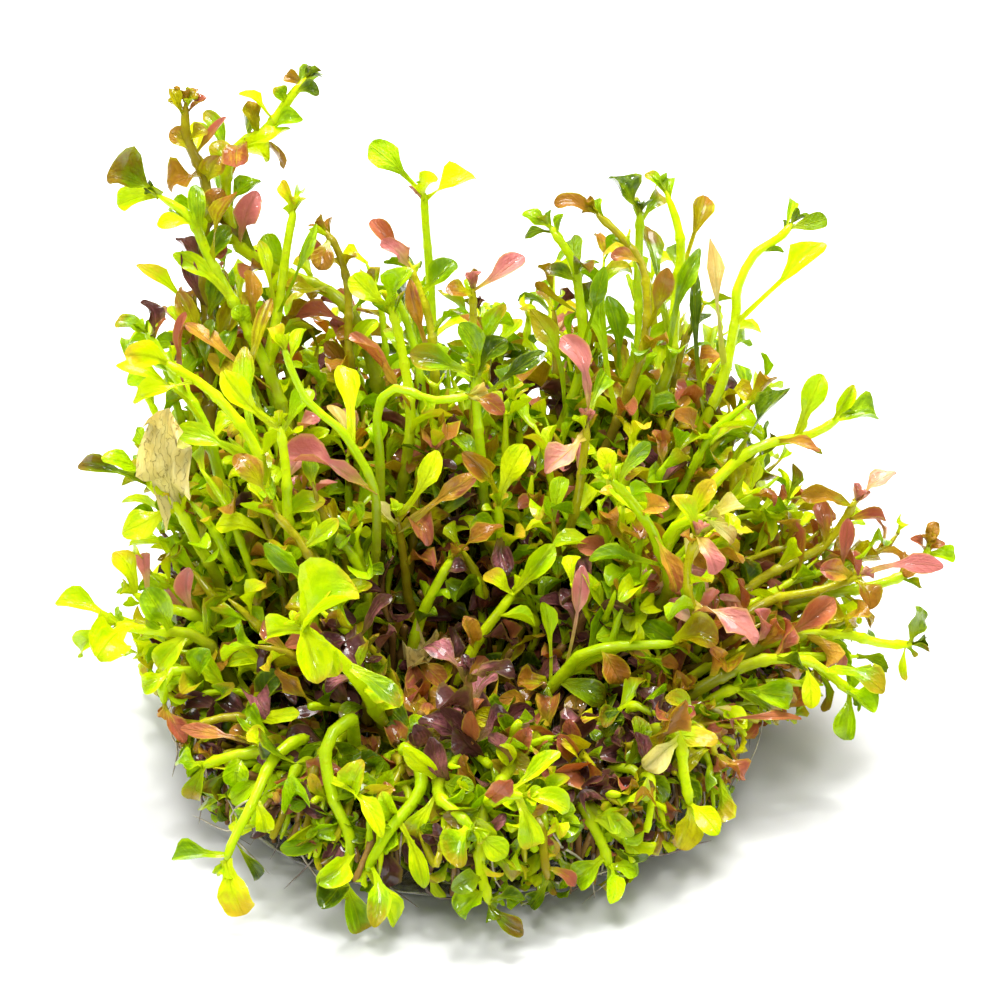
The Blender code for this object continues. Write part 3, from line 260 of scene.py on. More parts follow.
SHOOTS = [
    Shoot("tall_left", "O", (-22, 6),
        [(212, 450, 14), (210, 350, 20), (203, 255, 25), (206, 185, 28), (186, 135, 29), (186, 102, 30)],
        [(86, 166, 187, 1, 3.2, "o"), (99, 198, 96, 1, 1.5, "g"), (98, 174, 98, -1, 1.2, "m"),
         (55, 136, 260, 2, 1.8, "l"), (72, 226, 254, 2, 2.2, "r"), (90, 226, 118, 1, 1.5, "r"),
         (36, 268, 284, 1, 1.7, "o"), (50, 214, 320, 2, 1.8, "d"), (62, 182, 250, 2, 1.5, "m")],
        [(97, 170, 86, 1, 1.2, "o"), (93, 208, 128, 1, 1.9, "o"), (90, 169, 130, 1, 2, "o"),
         (84, 218, 154, 2, 2.4, "o"), (80, 166, 206, 1, 1.6, "g"), (77, 222, 188, 2, 2.4, "o"),
         (70, 176, 238, 1, 1.8, "m"), (66, 230, 222, 1, 2.2, "g"), (60, 224, 270, 2, 2.4, "d"),
         (50, 178, 292, 1, 2.2, "o"), (44, 236, 320, 1, 2, "g"), (52, 238, 296, 1, 2.4, "o")], radius=0.92),
    Shoot("tall_left_arm", "L", (-18, 11),
        [(285, 420, 15), (251, 335, 19), (210, 260, 22), (190, 218, 23), (156, 194, 24)],
        [(99, 106, 176, 1, 4, "d"), (99, 120, 206, -1, 2.4, "l"), (80, 236, 190, 2, 1.8, "o"),
         (50, 186, 326, 1, 2.4, "r")],
        [(90, 158, 226, 1, 1.8, "l"), (86, 196, 184, 1, 1.8, "g"), (70, 174, 256, 1, 2, "l"),
         (60, 248, 264, 1, 2, "o"), (42, 208, 344, 1, 2.2, "l"), (66, 242, 304, 1, 2.2, "g")], radius=0.85),
    Shoot("tall_right_arm", "L", (-9, 15),
        [(380, 400, 21), (345, 305, 25), (282, 271, 27), (236, 240, 28), (230, 155, 30), (266, 130, 32),
         (294, 92, 33), (306, 78, 34)],
        [(93, 324, 64, 1, 2.5, "d"), (99, 286, 74, 0, 1.5, "o"), (86, 238, 168, 3, 3.2, "r"),
         (80, 204, 114, 1, 1.8, "g"), (68, 256, 190, 2, 2.6, "p"), (30, 322, 340, 2, 2, "o"),
         (83, 292, 122, 1, 2.2, "l"), (76, 264, 126, -1, 1.5, "r")],
        [(97, 320, 92, 1, 1.6, "d"), (95, 274, 88, 1, 1.6, "g"), (90, 304, 118, 1, 2, "g"),
         (88, 248, 98, 1, 1.8, "o"), (84, 272, 158, 1, 2.2, "l"), (78, 212, 138, 1, 2.4, "g"),
         (74, 262, 180, 1, 2.2, "g"), (64, 218, 210, 1, 2.4, "d"), (60, 266, 234, 1, 2.2, "g"),
         (52, 274, 290, 2, 2.2, "o"), (40, 336, 334, 2, 2.4, "o"), (44, 292, 314, 2, 2, "r")], radius=0.9),
    Shoot("needle_fork", "L", (-14, 9), [(270, 380, 17), (280, 300, 21), (288, 240, 23), (294, 210, 24)],
        [(99, 282, 180, 0, 1.3, "l"), (99, 304, 188, -1, 0.9, "l"), (75, 262, 236, 1, 1.4, "l"),
         (75, 316, 222, 1, 1.2, "g"), (45, 236, 312, 1, 1.6, "l")], bare=True),
    Shoot("olive_hooks", "O", (-8, 19), [(350, 360, 22), (348, 290, 25), (338, 250, 26), (324, 230, 27)],
        [(98, 318, 270, 3, 2.4, "o"), (90, 302, 260, 1, 2, "r"), (60, 374, 314, 1, 2, "l")]),
    Shoot("left_high_sprig", "L", (-23, 1), [(210, 440, 6), (175, 375, 9), (146, 332, 11)],
        [(99, 116, 326, 0, 2, "g"), (98, 143, 298, 1, 1.7, "m"), (80, 186, 312, 1, 1.8, "r"),
         (70, 112, 360, 1, 2.2, "l")]),
    Shoot("left_high_stem", "L", (-18, 1), [(260, 460, 3), (215, 395, 5), (165, 362, 6)],
        [(99, 124, 354, 1, 2.6, "l"), (90, 130, 402, 1, 2, "l"), (60, 245, 350, 1, 2.2, "g"),
         (60, 174, 430, 2, 2.4, "l")]),
    Shoot("left_middle", "L", (-25, -2), [(220, 585, -1), (195, 540, -1), (175, 505, 0), (146, 482, 1)],
        [(99, 72, 464, 1, 1.8, "d"), (97, 102, 458, 0, 2.4, "g"), (90, 142, 450, 2, 3, "g"),
         (85, 118, 532, 2, 3.4, "l"), (84, 168, 408, 1, 3.6, "w")]),
    Shoot("left_upright_blade", "L", (-26, -5), [(200, 620, -5), (156, 605, -5), (134, 594, -5)],
        [(99, 114, 548, 1, 2.6, "l"), (90, 142, 550, -1, 1.6, "p"), (60, 188, 566, 1, 1.8, "p")]),
    Shoot("left_low_rosette", "L", (-23, -9), [(200, 638, -8), (145, 630, -9), (115, 624, -9)],
        [(99, 54, 602, 0, 2.4, "l"), (98, 72, 650, 1, 2.4, "l"), (92, 96, 656, 3, 4.2, "l"),
         (70, 144, 588, 2, 3, "g"), (60, 158, 670, 2, 2.4, "l")]),
    Shoot("left_hanging", "L", (-25, -10), [(195, 675, -11), (166, 674, -13), (164, 704, -14)],
        [(99, 184, 742, 1, 1.8, "r"), (75, 138, 686, 1, 2, "l"), (50, 210, 650, 2, 2.4, "g")]),
    Shoot("low_left_arm", "L", (-20, -14), [(272, 750, -19), (235, 755, -20), (202, 766, -20)],
        [(99, 174, 760, 1, 2.6, "g"), (98, 189, 802, 0, 2, "g"), (70, 236, 788, 1, 2.4, "g"),
         (55, 246, 734, 1, 2.2, "l"), (45, 184, 730, 1, 1.6, "r")], radius=0.8),
    Shoot("drooping_left", "L", (-15, -15),
        [(310, 733, -16), (274, 758, -21), (253, 802, -26), (232, 843, -29), (226, 862, -30)],
        [(99, 244, 916, 0, 3.5, "l"), (97, 172, 860, 0, 2.1, "g"), (90, 264, 880, -1, 1.4, "d"),
         (70, 266, 834, 0, 1.8, "l")], bare=True, radius=0.72, clear=2.0),
    Shoot("front_loop_left", "L", (-11, -18),
        [(354, 720, -20), (327, 743, -24), (332, 795, -28), (350, 840, -31), (344, 884, -33)],
        [(99, 360, 934, 0, 2.6, "g"), (98, 322, 910, 0, 2.8, "d"), (88, 316, 882, 0, 2.5, "l"),
         (60, 388, 834, 0, 1.8, "l")], bare=True, radius=0.8, clear=2.2),
    Shoot("front_loop_right", "L", (-5, -19),
        [(386, 743, -20), (414, 756, -23), (420, 790, -27), (388, 832, -32), (366, 872, -34)],
        [(99, 392, 926, 0, 2.2, "l"), (97, 374, 928, 1, 2.2, "g"), (75, 424, 886, 0, 1.7, "l"),
         (45, 474, 804, 1, 2.6, "l")], bare=True, radius=0.8, clear=2.2),
    Shoot("front_crown", "L", (-8, -13),
        [(376, 735, -15), (374, 705, -17), (350, 670, -19), (315, 638, -21), (300, 626, -21)],
        [(99, 360, 592, 2, 5, "l"), (98, 318, 684, 3, 3.2, "l"), (95, 264, 636, 0, 2.2, "l"),
         (35, 404, 690, 1, 2.6, "l")],
        [(55, 388, 700, 2, 2.4, "l"), (84, 338, 676, 2, 2.4, "l"), (70, 398, 708, 2, 2.2, "g"),
         (97, 330, 584, 1, 2.4, "l")], bare=True, folded=True, radius=0.95, clear=2.0),
    Shoot("centre_upright", "O", (-4, 2), [(412, 620, 2), (404, 560, 2), (397, 516, 2)],
        [(99, 438, 448, 2, 2.2, "l"), (97, 344, 526, 1, 1.9, "o"), (93, 370, 500, -1, 1.2, "b"),
         (90, 476, 476, 0, 2, "r"), (30, 454, 618, 1, 1.6, "m")], bare=True, clear=1.8),
    Shoot("centre_lime_left", "L", (-6, -2), [(408, 664, -3), (420, 620, -2), (436, 586, -1), (452, 558, 0)],
        [(99, 506, 522, 2, 2, "o"), (90, 468, 568, 2, 1.8, "m"), (50, 436, 612, 2, 1.8, "d")],
        [(34, 428, 664, 1, 2.6, "w"), (30, 448, 688, 2, 2.2, "r"), (32, 422, 704, 2, 2.2, "r")],
        bare=True, clear=1.7),
    Shoot("centre_lime_right", "L", (-1, -4),
        [(455, 683, -5), (478, 640, -4), (502, 608, -3), (514, 592, -2)],
        [(99, 554, 546, 2, 2.2, "l"), (98, 484, 572, 1, 2.3, "l"), (80, 538, 624, 2, 1.8, "l"),
         (55, 464, 616, 2, 1.8, "r")], bare=True, clear=1.7),
    Shoot("centre_fan", "L", (3, 3), [(505, 580, 4), (500, 530, 5), (498, 505, 5)],
        [(99, 526, 446, 1, 2.8, "l"), (98, 464, 452, 0, 2.3, "o"), (85, 470, 530, 3, 2, "g"),
         (80, 508, 576, 3, 2.2, "m")]),
    Shoot("right_arch", "L", (9, -8), [(560, 670, -8), (595, 650, -9), (640, 645, -10), (675, 644, -10)],
        [(99, 718, 642, 1, 3.4, "o"), (20, 542, 598, 1, 1.7, "l"), (35, 582, 566, 1, 1.8, "p"),
         (60, 622, 684, 1, 2.6, "o")],
        [(16, 518, 686, 2, 2.4, "o"), (22, 604, 702, 1, 2.6, "d"), (20, 544, 712, 1, 2, "d")],
        bare=True, clear=1.8),
    Shoot("pink_centre", "O", (8, 5), [(575, 510, 5), (584, 454, 6), (587, 422, 7)],
        [(98, 562, 330, 1, 2.8, "p"), (95, 544, 472, 2, 2.8, "p"), (99, 608, 366, 0, 2, "g")], clear=1.6),
    Shoot("middle_right_lime", "L", (10, -2),
        [(664, 600, -3), (656, 540, -4), (635, 506, -5), (612, 480, -6)],
        [(99, 600, 448, 1, 2, "l"), (97, 650, 444, 1, 1.6, "g"), (75, 676, 592, 3, 2.2, "r"),
         (60, 586, 556, 1, 2.2, "g")]),
    Shoot("rose_blade", "O", (15, -6), [(710, 660, -7), (690, 600, -9), (688, 560, -10), (698, 534, -10)],
        [(70, 764, 640, 2, 3.6, "p"), (99, 720, 576, 2, 2, "p"), (98, 672, 496, 1, 2, "l"),
         (40, 640, 620, 2, 2.2, "g")], clear=1.6),
    Shoot("beige_star", "L", (12, 2), [(660, 560, 0), (675, 526, -2), (706, 516, -3)],
        [(99, 746, 502, 0, 2, "b"), (98, 736, 542, 1, 2, "b"), (95, 714, 480, 1, 2, "l")]),
    Shoot("right_long_arm", "L", (20, 3),
        [(670, 540, 5), (705, 493, 7), (754, 449, 9), (815, 433, 10), (840, 417, 11)],
        [(99, 880, 416, 0, 3.2, "g"), (97, 854, 386, -1, 1.5, "l"), (86, 822, 374, 0, 2.5, "l"),
         (66, 790, 386, 1, 2.2, "d"), (80, 820, 452, 1, 1.2, "r")], bare=True, clear=1.6),
    Shoot("upper_right", "L", (15, 14),
        [(715, 400, 19), (736, 316, 23), (737, 290, 24), (754, 255, 26), (780, 237, 27), (792, 224, 28)],
        [(99, 828, 218, 0, 1.9, "d"), (98, 790, 202, -1, 1.2, "g"), (72, 826, 244, 2, 3, "l"),
         (62, 716, 230, 0, 1.9, "b"), (50, 696, 272, 1, 1.3, "d")], bare=True),
    Shoot("top_right", "L", (8, 17),
        [(665, 380, 21), (676, 290, 25), (681, 250, 26), (676, 219, 27), (665, 190, 28)],
        [(99, 644, 174, 0, 1.4, "g"), (78, 706, 192, 1, 2.4, "o"), (62, 644, 220, 0, 2.2, "d"),
         (60, 700, 244, 1, 2, "g")]),
    Shoot("top_right_pad", "L", (4, 21), [(634, 360, 24), (638, 280, 27), (640, 212, 28)],
        [(99, 612, 172, 1, 2.9, "d"), (97, 660, 186, -1, 2.2, "g"), (50, 606, 302, 1, 2.2, "g")]),
    Shoot("top_curls", "L", (1, 15), [(578, 380, 20), (576, 270, 24), (563, 245, 25), (550, 226, 26)],
        [(99, 522, 212, 1, 1.7, "g"), (98, 522, 236, -1, 1.4, "d"), (85, 544, 270, 2, 1.8, "d"),
         (70, 606, 266, 1, 1.8, "g"), (50, 530, 306, 2, 2.6, "g")]),
    Shoot("top_arch", "O", (7, 11), [(640, 360, 18), (645, 275, 22), (626, 242, 24), (596, 213, 25)],
        [(99, 554, 204, 1, 1.9, "o"), (85, 610, 256, 1, 1.5, "r"), (70, 666, 268, 2, 2.2, "o"),
         (50, 602, 294, 1, 2.2, "g")]),
    Shoot("far_back_pads", "L", (-3, 22), [(435, 400, 28), (430, 280, 33), (425, 215, 35), (424, 192, 36)],
        [(99, 369, 144, 0, 3.2, "g"), (98, 476, 176, 0, 3.3, "l"), (97, 436, 176, 2, 2.2, "l")], bare=True),
    Shoot("brown_top_left", "O", (-5, 12), [(435, 400, 15), (431, 330, 18), (420, 290, 20), (406, 260, 22)],
        [(99, 372, 216, 0, 1.8, "r"), (97, 382, 240, 2, 1.8, "p"), (90, 456, 258, 1, 2.4, "g"),
         (70, 409, 280, 1, 1.6, "r")]),
    Shoot("lime_trumpet", "L", (-10, 7), [(410, 430, 10), (402, 350, 14), (390, 304, 16)],
        [(98, 352, 272, 0, 2.6, "l"), (99, 412, 269, 1, 2.2, "g"), (70, 350, 334, 2, 2, "r")]),
    Shoot("pink_top", "O", (-1, 8), [(475, 410, 14), (473, 320, 18), (473, 288, 19)],
        [(99, 524, 253, 1, 2.3, "p"), (98, 446, 292, 1, 2, "o"), (80, 508, 306, 2, 2.2, "g")]),
    Shoot("middle_rosette", "L", (3, 8), [(482, 470, 8), (476, 400, 11), (475, 374, 12)],
        [(99, 410, 354, 1, 2.8, "g"), (98, 460, 324, 1, 2.6, "g"), (97, 506, 336, 1, 2.6, "d"),
         (90, 544, 346, 3, 1.8, "d")]),
    Shoot("lime_runner", "L", (-9, 3),
        [(380, 460, 3), (378, 410, 3), (396, 388, 2), (432, 400, 1), (470, 396, 1)],
        [(50, 330, 394, 1, 1.6, "b"), (99, 504, 414, 1, 1.8, "r"), (60, 368, 428, 3, 2.2, "g")],
        bare=True, dark_foot=True, radius=0.66, clear=1.8),
    Shoot("inner_runner", "L", (-11, -3),
        [(376, 500, -1), (344, 434, 0), (310, 404, 1), (294, 376, 2), (284, 348, 3)],
        [(99, 268, 326, 0, 1.6, "l"), (96, 304, 330, 0, 1.4, "l"), (55, 284, 454, 1, 3.2, "p"),
         (70, 342, 370, 1, 2.4, "l")], bare=True, dark_foot=True, radius=0.6),
    Shoot("olive_blade", "O", (-13, -8), [(328, 600, -7), (303, 546, -5), (274, 512, -4)],
        [(99, 234, 450, 1, 2.5, "o"), (80, 338, 520, 1, 1.6, "l"), (60, 264, 544, 2, 2, "g")]),
    Shoot("bright_paddle", "L", (-17, -3), [(288, 520, -2), (286, 470, -1), (280, 426, 1)],
        [(99, 224, 374, 1, 2.5, "l"), (97, 312, 388, 0, 2, "g"), (60, 248, 486, 2, 1.8, "l")]),
    Shoot("right_rust_tip", "O", (22, -1), [(760, 580, 2), (825, 545, 4), (848, 514, 5), (856, 500, 5)],
        [(99, 898, 468, 1, 1.9, "p"), (97, 800, 494, 1, 1.9, "o"), (90, 886, 520, -1, 1.4, "r"),
         (80, 816, 498, 2, 1.8, "r")]),
    Shoot("right_rust_star", "O", (23, -5), [(760, 605, -2), (820, 590, 0), (860, 576, 1)],
        [(99, 942, 568, 1, 2.1, "p"), (98, 872, 610, 2, 2.4, "o"), (96, 820, 570, 2, 2.2, "r"),
         (90, 848, 518, 1, 1.6, "r")]),
    Shoot("far_right", "L", (24, 2), [(800, 600, 3), (880, 584, 5), (922, 564, 6), (928, 546, 6)],
        [(99, 934, 520, 0, 1.5, "o"), (97, 954, 558, 0, 1.7, "g"), (90, 906, 578, 1, 1.4, "o")]),
    Shoot("right_hook", "L", (22, -9), [(760, 645, -7), (840, 634, -4), (885, 644, -3), (912, 644, -3)],
        [(99, 924, 606, 0, 2.4, "d"), (98, 906, 684, 0, 1, "l"), (75, 868, 606, 2, 2.4, "o"),
         (50, 834, 600, 1, 2.6, "r")]),
    Shoot("right_drop", "L", (19, -13), [(750, 664, -11), (804, 660, -10), (834, 678, -10), (852, 694, -10)],
        [(99, 844, 740, 0, 2.2, "g"), (98, 874, 714, 0, 2.4, "g"), (85, 886, 692, 2, 2.8, "g"),
         (75, 810, 708, 1, 1.9, "l")]),
    Shoot("right_pair", "L", (25, -12), [(724, 692, -13), (742, 688, -13)],
        [(99, 794, 696, 0, 2.8, "g"), (90, 776, 720, 1, 2.6, "g")]),
    Shoot("right_low_rust", "O", (23, -16), [(700, 728, -18), (716, 756, -19)],
        [(99, 746, 780, 0, 1.8, "r"), (50, 802, 719, -3, 1.6, "r"), (90, 674, 776, 2, 2, "o")]),
    Shoot("right_front_lime", "L", (17, -18), [(674, 730, -21), (684, 774, -24), (690, 806, -25)],
        [(30, 718, 742, 2, 2.4, "l"), (99, 676, 848, 1, 2.8, "o"), (98, 720, 832, 0, 2.2, "l"),
         (60, 644, 768, 1, 2.4, "b")]),
    Shoot("front_right_pads", "L", (11, -23), [(580, 800, -27), (603, 846, -30), (610, 868, -31)],
        [(99, 640, 874, 0, 2.8, "g"), (97, 610, 906, 0, 1.7, "g"), (90, 572, 880, 1, 2.6, "g"),
         (60, 628, 822, 1, 2.4, "l")]),
    Shoot("front_dark_pads", "L", (1, -24), [(483, 815, -29), (480, 866, -32.5), (490, 905, -34.5)],
        [(99, 524, 934, 0, 1.8, "d"), (98, 524, 896, 0, 1.3, "d"), (90, 458, 914, 1, 2.8, "g"),
         (85, 452, 888, -1, 2, "d")]),
    Shoot("front_small_leaf", "O", (6, -25), [(540, 820, -30), (544, 855, -32.5), (548, 880, -33)],
        [(99, 530, 908, 0, 1.7, "d"), (90, 576, 886, 0, 1.4, "r")], bare=True),
    Shoot("front_bright_right", "L", (4, -17), [(486, 806, -29), (504, 796, -29), (524, 796, -30)],
        [(50, 500, 744, 1, 1.8, "l"), (90, 558, 754, 1, 1.8, "l"), (99, 570, 810, 1, 2.2, "l"),
         (97, 534, 854, 1, 2.4, "l")]),
    Shoot("front_bright_left", "L", (-1, -20), [(438, 794, -26), (460, 816, -30), (474, 830, -31)],
        [(99, 506, 856, 0, 2.4, "l"), (97, 460, 868, 0, 2.6, "g"), (60, 416, 850, 0, 2.4, "l")]),
]

# Thin old roots that hang free at the front: how far behind the middle, the places that they pass in the
# view, and how dark they are.
THREADS = (
    (-18.5, ((20.4, 76.0), (19.9, 79.0), (20.8, 81.0), (22.4, 82.0)), 0.9),
    (-31.5, ((42.4, 88.0), (42.9, 89.4), (45.2, 89.9), (46.5, 89.2)), 0.8),
    (-31.5, ((44.0, 85.0), (45.4, 86.6), (46.5, 88.6)), 0.1),
    (-29.5, ((59.4, 85.4), (58.6, 87.8), (57.2, 89.2), (55.4, 89.6)), 0.9),
)

# The shoots that lean out behind: their bearing in degrees, how far they lean and how high they rise.
BACK_SHOOTS = ((55.0, 16.0, 18.0), (88.0, 18.0, 24.0), (118.0, 17.0, 20.0))
LOW_SPRIGS = 3

# The faces of a leaf, across one side and along it: of a measured shoot's leaf, and of any other.
FINE_FACES = (6, 9)
PLAIN_FACES = (4, 6)

# How far a node's swelling reaches along its stem, and how far apart the rings past the last node are.
NODE_REACH = 0.55
RING_SPACING = 1.6

# The finishes that are worn, and those of leaves in the hollow, old ones, young ones and ones on the gel. The
# dark finishes of the hollow and of old leaves are partly their own colour and partly painted shade deep in
# the clump.
AGED_LETTERS = "rpmow"
HOLLOW_LETTERS = "mmrdmommd"
OLD_AND_SHADED_LETTERS = "mmrdmdod"
YOUNG_LETTERS = "llg"
FALLEN_LETTERS = "mmmdro"

# The lights: the place of each in metres, its size and its power.
LIGHTS = (
    ("above", (0.03, 0.27, 0.83), 0.6, 16.5),
    ("left", (-0.6, -0.35, 0.55), 0.3, 1.1),
    ("right", (0.65, -0.15, 0.5), 0.3, 1.0),
    ("front", (0.0, -0.40, 0.72), 0.15, 1.9),
    ("glint_above", (-0.1, 0.1, 0.8), 0.06, 1.2),
    ("glint_left", (-0.5, -0.1, 0.6), 0.06, 1.1),
)


@dataclass(frozen=True)
class Patch:
    """A patch of the view and the finishes that its leaves have, each as often as its letter is there."""

    across: float
    down: float
    reach: float
    letters: str


# The front bottom patches' dark letters are partly dark leaves, partly painted shade in the gaps under the
# loops.
PATCHES = [Patch(*row) for row in (
    (22, 14, 8, "oogdrgl"), (27, 24, 6, "lloogr"), (34, 28, 6, "ooorgl"), (18, 30, 6, "ollgmr"),
    (14, 36, 6, "llgl"), (24, 36, 7, "lllogr"), (41, 28, 7, "rogdlgp"), (48, 33, 7, "ggdgogl"),
    (56, 25, 6, "ggdgo"), (64, 23, 6, "godlg"), (57, 33, 5, "gpogl"), (65, 32, 7, "oglolg"),
    (71, 28, 6, "gdlob"), (74, 35, 7, "orlodrg"), (66, 42, 7, "orlogm"), (75, 44, 7, "olgogd"),
    (12, 48, 7, "lggl"), (20, 46, 7, "lllgo"), (30, 44, 7, "llogpg"), (40, 44, 7, "gollgrm"),
    (50, 44, 7, "lglogmr"), (59, 47, 6, "lgogp"), (66, 52, 7, "llolgr"), (74, 52, 6, "bllorg"),
    (82, 52, 7, "rolrog"), (90, 54, 6, "rolrg"), (12, 57, 7, "llglp"), (20, 57, 7, "llglgr"),
    (29, 56, 7, "lgogol"), (38, 56, 7, "olgmrldg"), (48, 60, 8, "mmordmol"), (58, 57, 7, "glolgg"),
    (67, 60, 6, "llgorp"), (75, 62, 6, "pprorp"), (82, 61, 6, "rodlrg"), (89, 62, 6, "ldglo"),
    (11, 63, 6, "llll"), (19, 65, 7, "llglgo"), (27, 67, 6, "mrodmgl"), (38, 68, 7, "mmrmdo"),
    (48, 71, 7, "mrmdrom"), (58, 68, 6, "ogldom"), (68, 68, 6, "oolrg"), (79, 68, 6, "rdglro"),
    (86, 70, 5, "ggld"), (21, 73, 6, "rmolgr"), (30, 76, 6, "lgrlgm"), (40, 78, 6, "lgdml"),
    (52, 78, 6, "lgdlr"), (61, 76, 6, "rpomrl"), (70, 76, 6, "obrglo"), (24, 82, 6, "gdlgd"),
    (34, 86, 6, "lgdgd"), (46, 86, 6, "gdldg"), (57, 84, 6, "lgdlg"), (66, 83, 6, "gdogl"),
    (72, 81, 5, "odgrl"),
)]

# The hollow in the middle, where the view goes down to the old dark growth between the shoots. Its dark
# leaves are partly their own colour and partly painted shade in the hollow.
HOLLOW = ((42, 60, 5.8), (52, 64, 6.6), (31, 70, 4.5), (62, 74, 5.5), (46, 70, 5.4))

# The clump's close outline in the view: the small leaves stay within it, and the tall shoots pass it.
OUTLINE = (
    (19, 25), (21, 21), (24, 19), (27, 21), (29, 20), (33, 22), (35.5, 27.5), (37.5, 24), (43, 25), (47, 27),
    (51, 25), (52.5, 22), (57, 21), (60, 20), (63, 19), (67, 20), (70, 23), (72, 27), (74, 29), (76, 32),
    (79, 37), (78, 42), (79, 46), (81, 49), (86, 49), (90, 51), (92, 55), (93, 58), (92, 63), (89, 67),
    (86, 70), (82, 69.5), (79, 72.5), (74.5, 74), (73.5, 79), (72, 84), (67, 85), (63, 88.5), (59, 89),
    (54, 90.5), (49, 91), (45, 90), (41, 87.5), (37, 90), (33, 88.5), (30, 85.5), (26, 84), (22, 82.5),
    (19.5, 79), (18, 76), (18, 71.5), (15, 69), (14, 66), (9, 64.5), (7.5, 61.5), (12, 58.5), (11.5, 54),
    (11, 50), (8.5, 47.5), (12, 45), (14, 41), (11.5, 37), (12.5, 33), (15.5, 30), (18.5, 28),
)


class Outline:
    """A closed shape in the view."""

    def __init__(self, corners: tuple[tuple[float, float], ...]) -> None:
        """Takes its corners in order."""
        self.starts = np.array(corners, float)
        self.ends = np.roll(self.starts, -1, axis=0)

    def holds(self, places: np.ndarray) -> np.ndarray:
        """Whether each place is inside.

        Args:
            places: Rows of across and down.

        Returns:
            A row of true and false.
        """
        x, y = places[:, 0:1], places[:, 1:2]
        ax, ay, bx, by = (values[None] for values in (*self.starts.T, *self.ends.T))
        rises = (ay > y) != (by > y)
        level = np.where(by == ay, 1e-9, by - ay)
        crossing = ax + (y - ay) / level * (bx - ax)
        return ((rises & (x < crossing)).sum(1) % 2).astype(bool)


CLOSE = Outline(OUTLINE)


def in_hollow(across: float, down: float) -> bool:
    """Whether that place of the view looks down into the hollow."""
    return any(math.hypot(across - x, down - y) < reach for x, y, reach in HOLLOW)


def letters_at(across: float, down: float) -> str:
    """The letters of the patch that a place in the view belongs to."""
    return min(PATCHES, key=lambda p: math.hypot(p.across - across, p.down - down) / p.reach).letters


def spread(count: int, radius: float, turn: float = 0.0, start: float = 0.0) -> Iterator[tuple[float, float]]:
    """Places spread evenly over a disc, or over a ring that starts further out."""
    for step in range(count):
        reach = start + radius * math.sqrt((step + 0.5) / count)
        angle = GOLDEN_ANGLE * step + turn
        yield reach * math.cos(angle), reach * math.sin(angle)


def smooth_route(points: list[Vector], spacing: float) -> list[Vector]:
    """Points on a smooth curve.

    Args:
        points: What the curve goes through.
        spacing: About how far apart its points are.

    Returns:
        The curve's points, the first and last of the given ones among them.
    """
    ends = [points[0] * 2 - points[1], *points, points[-1] * 2 - points[-2]]
    ways = [(after - before).normalized() for before, after in zip(ends, ends[2:])]
    route = []
    for start, end, way_out, way_in in zip(points, points[1:], ways, ways[1:]):
        length = (end - start).length
        steps = max(2, round(length / spacing))
        for step in range(steps):
            t = step / steps
            route.append(
                start * (2 * t ** 3 - 3 * t ** 2 + 1)
                + way_out * (length * (t ** 3 - 2 * t ** 2 + t))
                + end * (3 * t ** 2 - 2 * t ** 3)
                + way_in * (length * (t ** 3 - t ** 2))
            )
    return [*route, points[-1].copy()]


def place_on(route: list[Vector], share: float) -> tuple[Vector, Vector]:
    """The point and the direction at a share of a route's length.

    Args:
        route: The route's points.
        share: The share, from 0 at the foot to 1 at the tip.

    Returns:
        The point, and the way that the route runs there.
    """
    lengths = [(b - a).length for a, b in zip(route, route[1:])]
    left = share * sum(lengths)
    for a, b, length in zip(route, route[1:], lengths):
        if left <= length:
            return a.lerp(b, left / length), (b - a).normalized()
        left -= length
    return route[-1].copy(), (route[-1] - route[-2]).normalized()


def route_length(route: list[Vector]) -> float:
    """How long a route is."""
    return sum((b - a).length for a, b in zip(route, route[1:]))


def as_array(points: list[Vector]) -> np.ndarray:
    """Vectors as rows of numbers."""
    return np.array([tuple(p) for p in points])


def unit(vectors: np.ndarray) -> np.ndarray:
    """The same ways, one long."""
    return vectors / np.linalg.norm(vectors, axis=-1, keepdims=True)


def near(points: np.ndarray, others: np.ndarray, reach: float) -> bool:
    """Whether two sets of points come nearer to each other than that. Their boxes are tried first."""
    if (points.min(0) - others.max(0) > reach).any() or (others.min(0) - points.max(0) > reach).any():
        return False
    return math.sqrt(((points[:, None] - others[None]) ** 2).sum(2).min()) < reach


@dataclass
class Blade:
    """Where a leaf is: its foot on the stem, its tip, its width and which way its face looks."""

    foot: Vector
    tip: Vector
    width: float
    facing: Vector
    widest: float = 0.6
    bow: float = 0.07
    tip_width: float = 0.4

    def __post_init__(self) -> None:
        """Works out the blade's own directions."""
        self.ahead = (self.tip - self.foot).normalized()
        self.face = (self.facing - self.ahead * self.facing.dot(self.ahead)).normalized()
        self.side = self.face.cross(self.ahead)
        self.length = (self.tip - self.foot).length
        self.middle = self.foot.lerp(self.tip, self.widest) + self.face * (self.bow * self.length)

    def spots(self, *shares: float) -> np.ndarray:
        """Points straight from its foot to its tip, at those shares of the way."""
        return as_array([self.foot.lerp(self.tip, share) for share in shares])

    def samples(self, spacing: float, foot_share: float) -> np.ndarray:
        """Points spread over the blade.

        Args:
            spacing: About how far apart the points are.
            foot_share: The share of its length at the foot that is left out.

        Returns:
            Rows of x, y and z.
        """
        points = []
        rows = max(3, round(self.length / spacing))
        for row in range(1, rows + 1):
            share = row / rows
            if share < foot_share:
                continue
            if share < self.widest:
                swell = share / self.widest
                centre = self.foot.lerp(self.middle, swell)
            else:
                past = (share - self.widest) / (1 - self.widest)
                swell = 1 - (1 - self.tip_width / 2) * past
                centre = self.middle.lerp(self.tip, past)
            half = self.width / 2 * swell
            columns = max(1, round(half / spacing))
            for column in range(-columns, columns + 1):
                points.append(centre + self.side * (half * column / columns))
        return as_array(points)


DrawnLeaf = tuple[Blade, float, Finish]


